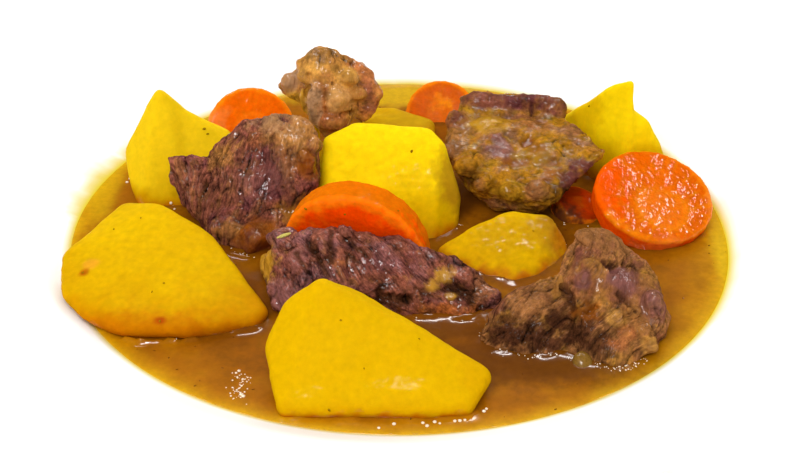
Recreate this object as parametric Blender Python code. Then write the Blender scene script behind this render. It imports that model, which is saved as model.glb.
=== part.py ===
"""Beef stew in a deep plate: potato chunks, carrot slices and braised beef standing in gravy.

Units are metres, +Z is up, and the origin is the middle of the plate's foot ring on the table.
Sizes below are written in millimetres and turned to metres by MM.
"""

import math

import bmesh
import bpy
from mathutils import Matrix, Vector, noise

MM = 0.001

# Plate: a white porcelain deep plate with a shallow well and a wide rim.
PLATE_RADIUS = 120.0
WELL_FLOOR_Z = 7.5
WELL_FLAT_RADIUS = 42.0
WELL_WALL_RADIUS = 93.0
WELL_STEPS = 6
RIM_STEPS = 4
RIM_END_SLOPE = 0.17
RIM_EASE = 2.2
WALL_THICKNESS = 4.2
UNDERSIDE_OUTSET = 0.8
LIP_THICKNESS = 3.0
LIP_OUTSET = 1.4
LIP_ROUNDING = [(1.2, 0.5), (LIP_OUTSET, 1.6)]
FOOT_RADIUS = 58.0
FOOT_WIDTH = 4.5
FOOT_HEIGHT = 3.3
FOOT_CHAMFER = 0.8
FOOT_FILLET = 1.5
TURN_STEPS = 40
MERGE_DISTANCE = 0.001

# Gravy: fills the well up to the circle where the pool meets the wall.
POOL_RADIUS = 85.0
POOL_Z = 19.0
TOUCH_GAP = 0.35
WALL_GAP = 0.7
POCKET_GAP = 0.7
POCKET_RISE = 1.0
POCKET_FLATNESS_DEG = 6.0

# Finishes: linear base colour and roughness.
POTATO_FINISH = ((0.86, 0.52, 0.02, 1.0), 0.4)
CARROT_FINISH = ((0.80, 0.16, 0.01, 1.0), 0.3)
BEEF_FINISH = ((0.20, 0.085, 0.05, 1.0), 0.35)
GRAVY_FINISH = ((0.38, 0.14, 0.01, 1.0), 0.12)
PORCELAIN_FINISH = ((0.9, 0.9, 0.88, 1.0), 0.12)
SHARP_EDGE_DEG = 40.0

# Food.
SHOWN_CORNER_DETAIL = 2
SUNK_CORNER_DETAIL = 1
CARROT_SIDES = 22
CARROT_EDGE = 1.1
CARROT_EDGE_STEPS = 2
CARROT_TAPER = 0.95
SUNK_FLOOR_Z = 9.4
BEEF_VOXEL = 1.4
BEEF_SMOOTHING = 3
BEEF_LUMP_SIZE = 9.0
BEEF_LUMP_HEIGHT = 0.9
BEEF_LUMP_FADE = 0.8
BEEF_LUMP_SCALING = 2.1
BEEF_LUMP_OCTAVES = 3
BEEF_TRIANGLES = 340

# A potato chunk is one or more lobes run together. A lobe is the hull of its corners, each
# rounded to its own radius: (x, y, z, radius).
POTATO_CHUNKS = {
    "potato_front": [[
        (-17.5, -58.0, 38.5, 2.8), (-23.5, -59.0, 34.0, 3.0), (-27.3, -64.0, 27.0, 3.0),
        (-24.5, -77.0, 20.4, 2.6), (14.5, -77.0, 20.2, 2.6), (18.0, -70.0, 23.2, 2.8),
        (8.5, -66.0, 27.5, 3.0), (-20.0, -50.0, 14.0, 4.0), (12.0, -56.0, 14.0, 4.0),
        (-13.0, -53.0, 33.0, 3.0), (-19.0, -64.0, 16.0, 3.0), (12.0, -64.0, 16.0, 3.0),
    ]],
    "potato_left": [[
        (-81.5, -25.5, 26.0, 1.8), (-79.0, -37.5, 23.6, 2.2), (-74.0, -43.0, 21.0, 2.4),
        (-64.0, -47.5, 21.5, 2.8), (-50.0, -48.0, 21.5, 2.8), (-35.5, -43.5, 19.8, 2.6),
        (-69.0, -9.0, 28.5, 3.0), (-61.0, -14.0, 31.5, 3.0), (-48.0, -22.5, 28.5, 3.0),
        (-33.5, -41.0, 20.5, 2.4), (-56.0, -43.0, 17.4, 2.5), (-38.0, -41.0, 15.5, 2.6),
        (-50.0, -20.0, 14.0, 4.0), (-62.0, -16.0, 15.0, 4.0),
    ]],
    "potato_back_left": [
        [
            (-64.2, 26.0, 45.0, 2.0), (-60.0, 26.0, 40.8, 1.8), (-72.7, 25.0, 28.3, 2.6),
            (-68.0, 14.0, 18.0, 3.0), (-56.0, 14.0, 18.0, 2.8), (-67.0, 32.0, 28.0, 3.0),
            (-62.0, 33.0, 18.0, 3.0), (-57.0, 31.0, 26.0, 3.0),
        ],
        [
            (-60.0, 26.0, 40.0, 1.8), (-46.8, 22.5, 34.2, 2.0), (-50.0, 18.0, 26.0, 2.2),
            (-55.0, 14.5, 18.0, 2.8), (-51.0, 21.0, 14.0, 2.8), (-50.0, 31.0, 29.0, 2.4),
            (-50.0, 32.0, 20.0, 2.6), (-60.0, 31.0, 18.0, 3.0),
        ],
    ],
    "potato_centre": [[
        (-18.0, 11.0, 38.5, 2.4), (-11.0, 14.0, 40.5, 2.4), (7.0, 13.0, 39.3, 2.4),
        (10.0, 10.5, 37.0, 2.6), (13.5, 6.0, 24.0, 3.0), (12.5, 1.0, 17.0, 3.0),
        (-19.4, 5.0, 26.0, 2.4), (8.0, -3.5, 15.5, 3.0), (-17.0, -4.5, 15.5, 3.0),
        (-8.0, 19.0, 35.0, 3.0), (6.0, 18.0, 34.0, 3.0), (-12.0, 20.0, 14.0, 3.0), (8.0, 18.0, 14.0, 3.0),
    ]],
    "potato_right": [[
        (11.5, -12.5, 19.5, 1.8), (19.0, -8.5, 22.0, 2.4), (29.5, -6.0, 25.0, 2.8),
        (37.5, -6.5, 24.0, 2.8), (41.0, -11.0, 18.0, 2.8), (34.0, -20.0, 18.0, 2.6),
        (28.0, -24.0, 17.5, 2.4), (19.0, -18.5, 18.0, 2.4), (20.0, -11.0, 13.0, 2.6),
        (36.0, -11.0, 13.0, 2.6), (29.0, -20.0, 13.0, 2.6),
    ]],
    "potato_back_right": [
        [
            (62.3, 30.0, 46.2, 1.3), (59.3, 32.0, 43.7, 1.7), (54.0, 36.5, 35.8, 2.0),
            (46.5, 43.0, 27.0, 2.4), (61.8, 29.0, 38.0, 2.0), (62.0, 25.0, 24.0, 2.8),
            (55.0, 28.0, 19.0, 2.8), (49.0, 36.0, 16.0, 2.8), (58.0, 40.0, 32.0, 2.8),
            (54.0, 43.0, 20.0, 2.8),
        ],
        [
            (61.2, 29.5, 38.5, 2.0), (66.0, 29.0, 34.8, 2.2), (69.5, 29.0, 27.8, 2.4),
            (71.0, 29.0, 23.5, 2.4), (63.0, 25.5, 22.0, 2.6), (58.0, 30.0, 18.0, 2.8),
            (58.0, 38.0, 24.0, 2.8), (65.0, 34.0, 21.0, 2.6),
        ],
    ],
    "potato_back": [[
        (-9.0, 63.0, 19.5, 2.4), (-2.0, 60.5, 20.8, 2.2), (8.0, 53.5, 21.0, 2.6),
        (7.5, 48.0, 19.5, 2.6), (-3.0, 48.0, 20.0, 2.6), (-8.0, 54.0, 20.5, 2.6),
        (-4.0, 58.0, 14.0, 2.6), (1.0, 51.0, 13.0, 2.6),
    ]],
    "potato_under": [[
        (-41.0, 37.0, 27.5, 2.2), (-31.5, 35.0, 32.5, 2.2), (-24.0, 30.0, 32.5, 2.2),
        (-26.0, 23.0, 27.0, 2.6), (-38.0, 28.0, 22.0, 2.6), (-36.0, 26.0, 14.0, 2.6),
        (-24.0, 24.0, 14.0, 2.6), (-31.0, 31.5, 14.0, 2.6), (-22.0, 31.0, 15.0, 2.6),
    ]],
}
RESTS_ON_WALL = {"potato_left", "potato_back_right", "carrot_right", "carrot_back_left", "carrot_back"}

# A carrot slice: middle of its upper cut face, radius, how far the cut is stretched down its
# lean, thickness, and the way that face looks, as a turn from +X and a rise above level.
CARROT_SLICES = {
    "carrot_right": {
        "face": (66.7, 2.3, 28.0), "radius": 16.9, "stretch": 0.92, "thickness": 6.5,
        "turn": -56.0, "rise": 67.0,
    },
    "carrot_centre": {
        "face": (-11.3, -20.9, 23.2), "radius": 18.8, "stretch": 1.05, "thickness": 8.5,
        "turn": -104.0, "rise": -10.0,
    },
    "carrot_back_left": {
        "face": (-41.6, 44.2, 24.5), "radius": 13.0, "stretch": 1.0, "thickness": 8.0,
        "turn": -70.0, "rise": 38.0,
    },
    "carrot_back": {
        "face": (12.3, 61.0, 21.2), "radius": 10.6, "stretch": 1.0, "thickness": 7.0,
        "turn": -90.0, "rise": 42.0,
    },
    "carrot_under": {
        "face": (48.5, 9.0, 21.5), "radius": 7.4, "stretch": 1.0, "thickness": 7.0,
        "turn": -30.0, "rise": 70.0,
    },
}

# A piece of beef is one or more lobes run together, given as a potato's are.
BEEF_PIECES = {
    "beef_left": [
        [
            (-38.5, 8.0, 44.5, 2.4), (-33.0, 8.0, 44.5, 2.6), (-50.0, 6.5, 35.0, 2.4),
            (-48.0, -5.0, 19.0, 2.8), (-36.0, -9.0, 18.0, 2.8), (-25.5, -2.0, 20.0, 2.8),
            (-24.5, 3.0, 30.0, 2.8), (-40.0, 14.0, 36.0, 2.8), (-30.0, 13.0, 38.0, 2.8),
            (-44.0, 11.0, 16.0, 3.0), (-30.0, 9.0, 15.0, 3.0),
        ],
        [
            (-60.0, 9.0, 34.2, 1.6), (-58.0, 8.5, 27.0, 2.0), (-50.5, 6.5, 35.5, 2.2),
            (-49.0, 0.0, 21.0, 2.6), (-48.0, 10.0, 24.0, 2.8),
        ],
        [
            (-31.5, 8.0, 45.5, 2.4), (-25.5, 8.0, 45.0, 2.4), (-22.8, 5.0, 41.0, 2.4),
            (-23.0, 1.0, 34.0, 2.4), (-26.0, -2.0, 30.5, 2.6), (-31.0, 2.0, 38.0, 2.6),
            (-27.0, 8.0, 33.0, 3.0),
        ],
    ],
    "beef_back": [
        [
            (-26.0, 33.0, 51.3, 2.6), (-21.5, 34.0, 53.5, 2.6), (-9.0, 34.5, 47.0, 2.8),
            (-7.7, 33.0, 43.0, 2.8), (-9.5, 29.5, 37.5, 2.6), (-20.0, 27.5, 44.0, 2.8),
            (-24.0, 40.0, 46.0, 2.8), (-10.0, 40.0, 41.0, 2.8), (-18.0, 38.0, 41.0, 2.8),
        ],
        [
            (-32.3, 37.5, 42.0, 1.8), (-29.5, 37.0, 44.3, 2.0), (-26.0, 33.0, 41.0, 2.4),
            (-24.0, 36.0, 46.0, 2.4), (-26.0, 38.5, 40.5, 2.4),
        ],
        [
            (-25.5, 31.0, 41.0, 2.2), (-18.0, 27.0, 40.0, 2.4), (-13.0, 28.5, 37.5, 2.2),
            (-19.7, 26.0, 33.2, 1.8), (-17.0, 32.0, 40.0, 3.0),
        ],
    ],
    "beef_right": [
        [
            (14.5, 16.0, 30.5, 1.8), (14.8, 32.0, 34.5, 2.0), (42.0, 33.0, 35.5, 2.2),
            (54.0, 12.5, 34.5, 1.4), (38.0, 1.5, 27.0, 2.0), (26.5, 6.0, 28.3, 2.0),
            (24.0, 34.0, 26.0, 2.6), (40.0, 29.0, 26.0, 2.6), (44.0, 14.0, 29.0, 2.0),
            (35.0, 7.0, 22.0, 2.4), (25.0, 10.0, 21.0, 2.4), (18.5, 20.0, 24.0, 2.4),
        ],
        [
            (18.0, 36.5, 37.6, 2.4), (28.0, 39.0, 36.5, 2.8), (39.5, 35.5, 36.2, 3.6),
            (39.0, 33.0, 30.0, 3.0), (22.0, 34.0, 30.0, 3.0),
        ],
    ],
    "beef_front": [
        [
            (-31.5, -28.0, 24.0, 2.4), (-29.0, -38.5, 21.0, 2.2), (-28.0, -27.0, 32.0, 2.4),
            (-14.0, -27.0, 33.5, 2.6), (0.0, -28.0, 31.0, 2.6), (-20.0, -35.0, 28.0, 3.0),
            (0.0, -36.5, 22.0, 2.8), (-2.0, -36.5, 16.0, 2.6), (-24.0, -37.5, 16.0, 2.8),
            (-27.0, -30.0, 14.0, 3.0), (0.0, -30.0, 14.0, 3.0),
        ],
        [
            (-2.0, -28.0, 30.5, 2.6), (12.5, -29.5, 27.0, 2.8), (24.0, -35.0, 20.5, 2.4),
            (16.5, -39.0, 17.5, 2.4), (-2.0, -37.0, 20.0, 2.8), (-2.0, -35.0, 15.0, 2.8),
            (14.0, -32.0, 14.0, 2.8),
        ],
    ],
    "beef_front_right": [
        [
            (45.5, -33.0, 36.5, 2.2), (40.5, -36.0, 32.5, 2.6), (53.0, -34.0, 33.0, 2.8),
            (59.0, -39.0, 27.5, 2.8), (62.0, -45.0, 22.0, 2.8), (58.0, -54.5, 20.5, 2.6),
            (52.0, -58.0, 19.5, 2.6), (43.0, -56.5, 18.0, 2.6), (42.0, -46.0, 29.0, 3.0),
            (46.0, -38.0, 15.0, 3.0), (56.0, -40.0, 16.5, 3.0),
        ],
        [
            (36.0, -42.5, 29.5, 2.4), (30.0, -43.5, 28.5, 2.4), (23.5, -46.5, 24.5, 2.4),
            (20.5, -50.0, 19.0, 2.4), (27.0, -54.0, 17.5, 2.4), (38.0, -53.5, 17.5, 2.8),
            (38.0, -48.0, 25.0, 2.8), (30.0, -47.0, 14.0, 2.8), (42.0, -46.0, 16.0, 2.8),
        ],
    ],
}


def clear_scene():
    """Removes whatever the scene holds."""
    for obj in list(bpy.data.objects):
        bpy.data.objects.remove(obj, do_unlink=True)


def material(name, finish):
    """A plain material for one kind of piece, from its colour and roughness."""
    colour, roughness = finish
    made = bpy.data.materials.new(name)
    made.use_nodes = True
    shader = made.node_tree.nodes["Principled BSDF"]
    shader.inputs["Base Color"].default_value = colour
    shader.inputs["Roughness"].default_value = roughness
    shader.inputs["Metallic"].default_value = 0.0
    made.diffuse_color = colour
    return made


def object_from(bm, name, finish):
    """An object in the scene that holds this mesh, shaded smooth."""
    mesh = bpy.data.meshes.new(name)
    bmesh.ops.recalc_face_normals(bm, faces=bm.faces)
    bm.to_mesh(mesh)
    bm.free()
    mesh.shade_smooth()
    mesh.set_sharp_from_angle(angle=math.radians(SHARP_EDGE_DEG))
    mesh.materials.append(finish)
    obj = bpy.data.objects.new(name, mesh)
    bpy.context.scene.collection.objects.link(obj)
    return obj


def ball_points(detail):
    """Points of a unit ball."""
    ball = bmesh.new()
    bmesh.ops.create_icosphere(ball, subdivisions=detail, radius=1.0)
    points = [vert.co.copy() for vert in ball.verts]
    ball.free()
    return points


def hull_of(points):
    """A bmesh that holds the hull of these points as a closed shell."""
    made = bmesh.new()
    for point in points:
        made.verts.new(point)
    hull = bmesh.ops.convex_hull(made, input=made.verts)
    inside = {item for key in ("geom_interior", "geom_unused") for item in hull[key]}
    bmesh.ops.delete(made, geom=[v for v in inside if isinstance(v, bmesh.types.BMVert)], context="VERTS")
    bmesh.ops.recalc_face_normals(made, faces=made.faces)
    return made


def add_hull(bm, corners):
    """Adds the hull of rounded corners to bm. Sunk corners are rounded less finely."""
    points = []
    for x, y, z, radius in corners:
        sunk = z + radius < POOL_Z
        for point in ball_points(SUNK_CORNER_DETAIL if sunk else SHOWN_CORNER_DETAIL):
            points.append((Vector((x, y, z)) + point * radius) * MM)
    hull = hull_of(points)
    shell = bpy.data.meshes.new("hull")
    hull.to_mesh(shell)
    hull.free()
    bm.from_mesh(shell)
    bpy.data.meshes.remove(shell)


def hide_helper(obj):
    """Marks an object as a cutter or a guide, which isn't part of the model."""
    obj.hide_render = True
    obj.display_type = "WIRE"


def add_boolean(obj, operation, other):
    """Adds a Boolean with another object, which becomes a helper."""
    modifier = obj.modifiers.new(operation.lower() + "_" + other.name, "BOOLEAN")
    modifier.operation = operation
    modifier.object = other
    hide_helper(other)


def potato_chunk(name, lobes, finish):
    """One potato chunk: its first lobe, joined by any others."""
    parts = []
    for number, corners in enumerate(lobes):
        bm = bmesh.new()
        add_hull(bm, corners)
        parts.append(object_from(bm, name if number == 0 else f"{name}_lobe_{number}", finish))
    for other in parts[1:]:
        add_boolean(parts[0], "UNION", other)
    return parts[0]


def carrot_slice(name, finish, face, radius, stretch, thickness, turn, rise):
    """One carrot slice, its upper cut face where it is said to be, cut level near the well's floor."""
    bm = bmesh.new()
    bmesh.ops.create_cone(
        bm, cap_ends=True, segments=CARROT_SIDES, radius1=radius * MM * CARROT_TAPER,
        radius2=radius * MM, depth=thickness * MM,
        matrix=Matrix.Translation((0, 0, -thickness * MM / 2)),
    )
    rims = [e for e in bm.edges if abs(e.verts[0].co.z - e.verts[1].co.z) < CARROT_EDGE * MM]
    bmesh.ops.bevel(
        bm, geom=rims, offset=CARROT_EDGE * MM, offset_type="OFFSET", segments=CARROT_EDGE_STEPS,
        profile=0.5, affect="EDGES", material=-1,
    )
    look = Matrix.Rotation(math.radians(turn), 4, "Z") @ Matrix.Rotation(math.radians(90 - rise), 4, "Y")
    lean = Matrix.Scale(stretch, 4, (1, 0, 0))
    bm.transform(Matrix.Translation(Vector(face) * MM) @ look @ lean)
    sunk = bmesh.ops.bisect_plane(
        bm, geom=bm.verts[:] + bm.edges[:] + bm.faces[:], plane_co=(0, 0, SUNK_FLOOR_Z * MM),
        plane_no=(0, 0, -1), clear_outer=True,
    )
    edges = [item for item in sunk["geom_cut"] if isinstance(item, bmesh.types.BMEdge)]
    if edges:
        bmesh.ops.contextual_create(bm, geom=edges)
    return object_from(bm, name, finish)


def roughen(bm, seed):
    """Moves each point of bm along its normal by soft lumps, as braised meat has."""
    shift = Vector((seed * 7.3, seed * 3.1, seed * 5.7))
    bm.normal_update()
    moves = []
    for vert in bm.verts:
        place = vert.co / (BEEF_LUMP_SIZE * MM) + shift
        lump = noise.fractal(place, BEEF_LUMP_FADE, BEEF_LUMP_SCALING, BEEF_LUMP_OCTAVES)
        moves.append(vert.co + vert.normal * lump * BEEF_LUMP_HEIGHT * MM)
    for vert, place in zip(bm.verts, moves):
        vert.co = place


def evaluated_bmesh(obj):
    """The object's mesh with its modifiers applied, as a bmesh."""
    graph = bpy.context.evaluated_depsgraph_get()
    bm = bmesh.new()
    bm.from_object(obj, graph)
    return bm


def beef_piece(name, lobes, seed, finish):
    """One piece of braised beef: its lobes run together, then lumped and thinned out."""
    bm = bmesh.new()
    for corners in lobes:
        add_hull(bm, corners)
    draft = object_from(bm, name + "_lobes", finish)
    merge = draft.modifiers.new("run_together", "REMESH")
    merge.mode = "VOXEL"
    merge.voxel_size = BEEF_VOXEL * MM
    soften = draft.modifiers.new("soften", "SMOOTH")
    soften.iterations = BEEF_SMOOTHING
    bpy.context.view_layer.update()
    bm = evaluated_bmesh(draft)
    bpy.data.objects.remove(draft, do_unlink=True)
    roughen(bm, seed)
    piece = object_from(bm, name, finish)
    thin = piece.modifiers.new("thin_out", "DECIMATE")
    thin.ratio = min(1.0, BEEF_TRIANGLES / max(1, 2 * len(piece.data.polygons)))
    return piece


def well_height(radius):
    """Height of the well's inner surface at a distance from the middle."""
    if radius <= WELL_FLAT_RADIUS:
        return WELL_FLOOR_Z
    curve = (POOL_Z - WELL_FLOOR_Z) / (POOL_RADIUS - WELL_FLAT_RADIUS) ** 2
    return WELL_FLOOR_Z + curve * (radius - WELL_FLAT_RADIUS) ** 2


def well_profile():
    """Points (radius, height) up the well's inner surface, from the middle outwards."""
    width = (WELL_WALL_RADIUS - WELL_FLAT_RADIUS) / WELL_STEPS
    radii = [0.0] + [WELL_FLAT_RADIUS + width * i for i in range(WELL_STEPS + 1)]
    return [(r, well_height(r)) for r in radii]


def rim_profile():
    """Points from the top of the well out over the rim, whose slope eases off towards the lip."""
    width = (PLATE_RADIUS - LIP_OUTSET - WELL_WALL_RADIUS) / RIM_STEPS
    height = well_height(WELL_WALL_RADIUS)
    steep = 2 * (height - WELL_FLOOR_Z) / (WELL_WALL_RADIUS - WELL_FLAT_RADIUS)
    points = []
    for i in range(1, RIM_STEPS + 1):
        eased = min(1.0, i / RIM_STEPS * RIM_EASE)
        height += (steep + (RIM_END_SLOPE - steep) * eased) * width
        points.append((WELL_WALL_RADIUS + width * i, height))
    return points


def turned(bm, profile):
    """Spins a profile of (radius, height) once round the Z axis into a closed shell."""
    verts = [bm.verts.new((r * MM, 0, z * MM)) for r, z in profile]
    edges = [bm.edges.new(pair) for pair in zip(verts, verts[1:])]
    bmesh.ops.spin(
        bm, geom=verts + edges, cent=(0, 0, 0), axis=(0, 0, 1), angle=2 * math.pi,
        steps=TURN_STEPS, use_merge=True, use_duplicate=False,
    )
    bmesh.ops.remove_doubles(bm, verts=bm.verts, dist=MERGE_DISTANCE * MM)


def plate(finish):
    """The deep plate: well, rim, rounded lip, underside and foot ring."""
    inner = well_profile() + rim_profile()
    foot_out = FOOT_RADIUS + FOOT_WIDTH
    lip_r, lip_z = inner[-1]
    lip = [(lip_r + out, lip_z - down) for out, down in LIP_ROUNDING]
    lip.append((lip_r, lip_z - LIP_THICKNESS))
    under = [(r + UNDERSIDE_OUTSET, z - WALL_THICKNESS) for r, z in reversed(inner[1:-1]) if r > foot_out]
    foot = [
        (foot_out, FOOT_HEIGHT + FOOT_FILLET), (foot_out - FOOT_CHAMFER, 0.0),
        (FOOT_RADIUS + FOOT_CHAMFER, 0.0), (FOOT_RADIUS, FOOT_HEIGHT), (0.0, FOOT_HEIGHT),
    ]
    bm = bmesh.new()
    turned(bm, inner + lip + under + foot)
    return object_from(bm, "plate", finish)


def rest_on_wall(pieces, finish):
    """Cuts these pieces to the well's wall, a little clear of it."""
    profile = [(r, z + WALL_GAP) for r, z in well_profile() + rim_profile()]
    bm = bmesh.new()
    turned(bm, profile + [(profile[-1][0], 0.0), (0.0, 0.0)])
    wall = object_from(bm, "wall_clearance", finish)
    for piece in pieces:
        add_boolean(piece, "DIFFERENCE", wall)


def pocket(piece, finish):
    """A cutter round the part of a piece that stands in the gravy, a little larger than it, or None."""
    bm = evaluated_bmesh(piece)
    bmesh.ops.bisect_plane(
        bm, geom=bm.verts[:] + bm.edges[:] + bm.faces[:],
        plane_co=(0, 0, (POOL_Z + POCKET_RISE) * MM), plane_no=(0, 0, 1), clear_outer=True,
    )
    points = [vert.co.copy() for vert in bm.verts]
    bm.free()
    if not points or min(point.z for point in points) > POOL_Z * MM:
        return None
    hull = hull_of(points)
    bmesh.ops.dissolve_limit(
        hull, angle_limit=math.radians(POCKET_FLATNESS_DEG), verts=hull.verts[:], edges=hull.edges[:],
    )
    hull.normal_update()
    grown = [vert.co + vert.normal * POCKET_GAP * MM for vert in hull.verts]
    hull.free()
    cutter = object_from(hull_of(grown), piece.name + "_pocket", finish)
    hide_helper(cutter)
    return cutter


def gravy(pieces, finish):
    """The gravy up to its level, kept clear of the plate and cut round each piece that stands in it."""
    inner = well_profile()
    (low_r, low_z), (high_r, high_z) = [(r, z + TOUCH_GAP) for r, z in inner[-3:-1]]
    edge_r = low_r + (high_r - low_r) * (POOL_Z - low_z) / (high_z - low_z)
    bottom = [(r, z + TOUCH_GAP) for r, z in inner if r < edge_r]
    bm = bmesh.new()
    turned(bm, bottom + [(edge_r, POOL_Z), (0.0, POOL_Z)])
    pool = object_from(bm, "gravy", finish)
    for piece in pieces:
        cutter = pocket(piece, finish)
        if cutter:
            add_boolean(pool, "DIFFERENCE", cutter)
    return pool


def main():
    clear_scene()
    potato = material("boiled_potato", POTATO_FINISH)
    carrot = material("stewed_carrot", CARROT_FINISH)
    beef = material("braised_beef", BEEF_FINISH)
    stock = material("gravy", GRAVY_FINISH)
    china = material("white_porcelain", PORCELAIN_FINISH)
    pieces = [potato_chunk(name, lobes, potato) for name, lobes in POTATO_CHUNKS.items()]
    pieces += [carrot_slice(name, carrot, **sizes) for name, sizes in CARROT_SLICES.items()]
    pieces += [
        beef_piece(name, lobes, seed, beef)
        for seed, (name, lobes) in enumerate(BEEF_PIECES.items(), start=1)
    ]
    rest_on_wall([piece for piece in pieces if piece.name in RESTS_ON_WALL], china)
    gravy(pieces, stock)
    plate(china)


main()
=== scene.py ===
"""Beef stew in a deep white plate: the finish of every piece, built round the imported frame.

Lengths are millimetres in every table and field, and MM turns them to metres.
"""

import logging
import math
from dataclasses import dataclass, field
from enum import Enum
from functools import cached_property
from typing import ClassVar

import bmesh
import bpy
import numpy as np
from bmesh.types import BMEdge, BMesh
from bpy.types import Material, Mesh, NodeSocket, Object
from mathutils import Matrix, Vector
from mathutils.bvhtree import BVHTree
from mathutils.kdtree import KDTree


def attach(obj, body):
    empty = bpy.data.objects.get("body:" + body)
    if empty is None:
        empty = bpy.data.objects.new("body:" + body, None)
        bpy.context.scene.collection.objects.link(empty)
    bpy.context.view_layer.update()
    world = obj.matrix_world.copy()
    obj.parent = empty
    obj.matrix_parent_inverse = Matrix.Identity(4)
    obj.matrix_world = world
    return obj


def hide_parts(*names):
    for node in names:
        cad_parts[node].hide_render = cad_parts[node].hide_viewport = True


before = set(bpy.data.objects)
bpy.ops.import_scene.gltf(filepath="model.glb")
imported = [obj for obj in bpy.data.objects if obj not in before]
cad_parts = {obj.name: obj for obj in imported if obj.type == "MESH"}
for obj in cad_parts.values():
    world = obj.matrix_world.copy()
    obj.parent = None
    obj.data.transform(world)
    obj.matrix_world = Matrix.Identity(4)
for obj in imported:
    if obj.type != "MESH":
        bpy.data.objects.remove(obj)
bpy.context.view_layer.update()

MM = 0.001
ROOT = "root"
MERGE = 1e-6
POOL_Z = 19.0
POOL_RADIUS = 85.0
WELL_FLOOR_Z = 7.5
WELL_FLAT_RADIUS = 42.0
UP = Vector((0.0, 0.0, 1.0))
WHITE = (1.0, 1.0, 1.0, 1.0)

log = logging.getLogger("stew")
Array = np.ndarray
Colour = tuple[float, float, float, float]
Point = tuple[float, float, float]
Pair = tuple[float, float]


def linear(code: str) -> Colour:
    """Turns an sRGB hex colour to linear light.

    Args:
        code: Six hex digits, such as "f0bf08".

    Returns:
        Red, green, blue and an alpha of 1.
    """
    shares = [int(code[i:i + 2], 16) / 255 for i in (0, 2, 4)]
    turned = [s / 12.92 if s <= 0.04045 else ((s + 0.055) / 1.055) ** 2.4 for s in shares]
    return (turned[0], turned[1], turned[2], 1.0)


class Tint(Enum):
    """Every colour that is laid on the food and the gravy, as sRGB hex."""

    FLESH = "d3a900"
    # Painted shade: flesh of the low faces.
    FLESH_SHADED = "c89600"
    # Painted light: flesh of the steep lit chunk at the back left.
    FLESH_LIT_SIDE = "e2ba10"
    # Painted light: flesh of lit tops and of the chunks at the back.
    FLESH_LIT = "f0cc08"
    # Painted shade: the deeper flesh of the chunks in front.
    FLESH_DEEP = "cea000"
    # Stock soak and painted shade together: the amber foot of a chunk.
    SOAKED_AND_SHADED = "b46200"
    # Stock film, and on potato_centre also painted shadow of the beef.
    SAUCE_AND_SHADE = "a06e12"
    CARROT = "e86404"
    CARROT_RED = "e84c00"
    CARROT_DEEP = "cc3500"
    CARROT_GLOW = "fa4800"
    CARROT_DIM = "d45a04"
    CARROT_LIGHT = "f48e10"
    CARROT_CORE = "ea7410"
    CARROT_RIM = "d26604"
    CARROT_SKIN = "fa8408"
    CARROT_PALE = "ee8438"
    MEAT = "784434"
    WINE = "643432"
    PLUM = "7a4c48"
    BROWN = "8a5a32"
    RUST = "98582f"
    TAN = "a26e32"
    LOBE = "a06c36"
    SALMON = "b06a3a"
    GOLD = "c08a3e"
    OCHRE = "b88620"
    OLIVE = "987218"
    GLAZE = "9c6814"
    FAT = "a8782a"
    GREY = "a87e58"
    CARAMEL = "85460f"
    # Painted shade: laid in clefts, holes and gaps and under overhangs.
    DARK = "442616"
    RUSSET = "a03004"
    JELLY = "a46c36"
    CREAM = "c08c50"
    EDGE = "b47804"
    THIN = "cea40a"
    RING = "cc980a"
    SHALLOW = "9e5e04"
    DEEP = "8c4e04"
    # Darker gravy: its own darker swirls, and painted shade near and under food.
    SHADED = "582e06"

    @property
    def light(self) -> Array:
        """The tint in linear light, as a row of three."""
        return np.array(linear(self.value)[:3])


def ramp(values: Array, stops: list[tuple[float, Tint]]) -> Array:
    """Colours each value by the two stops that it lies between.

    Args:
        values: One number for each point.
        stops: Positions in rising order, each with its tint.

    Returns:
        One row of linear red, green and blue for each value.
    """
    places = [position for position, _ in stops]
    colours = np.array([tint.light for _, tint in stops])
    return np.stack([np.interp(values, places, colours[:, i]) for i in range(3)], axis=1)


def ease(low: float, high: float, values: Array) -> Array:
    """Eases from 0 at low to 1 at high.

    Args:
        low: Where the result is 0.
        high: Where the result is 1, which may be below low.
        values: What is eased.

    Returns:
        One number from 0 to 1 for each value.
    """
    share = np.clip((values - low) / (high - low), 0.0, 1.0)
    return share * share * (3.0 - 2.0 * share)


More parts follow.
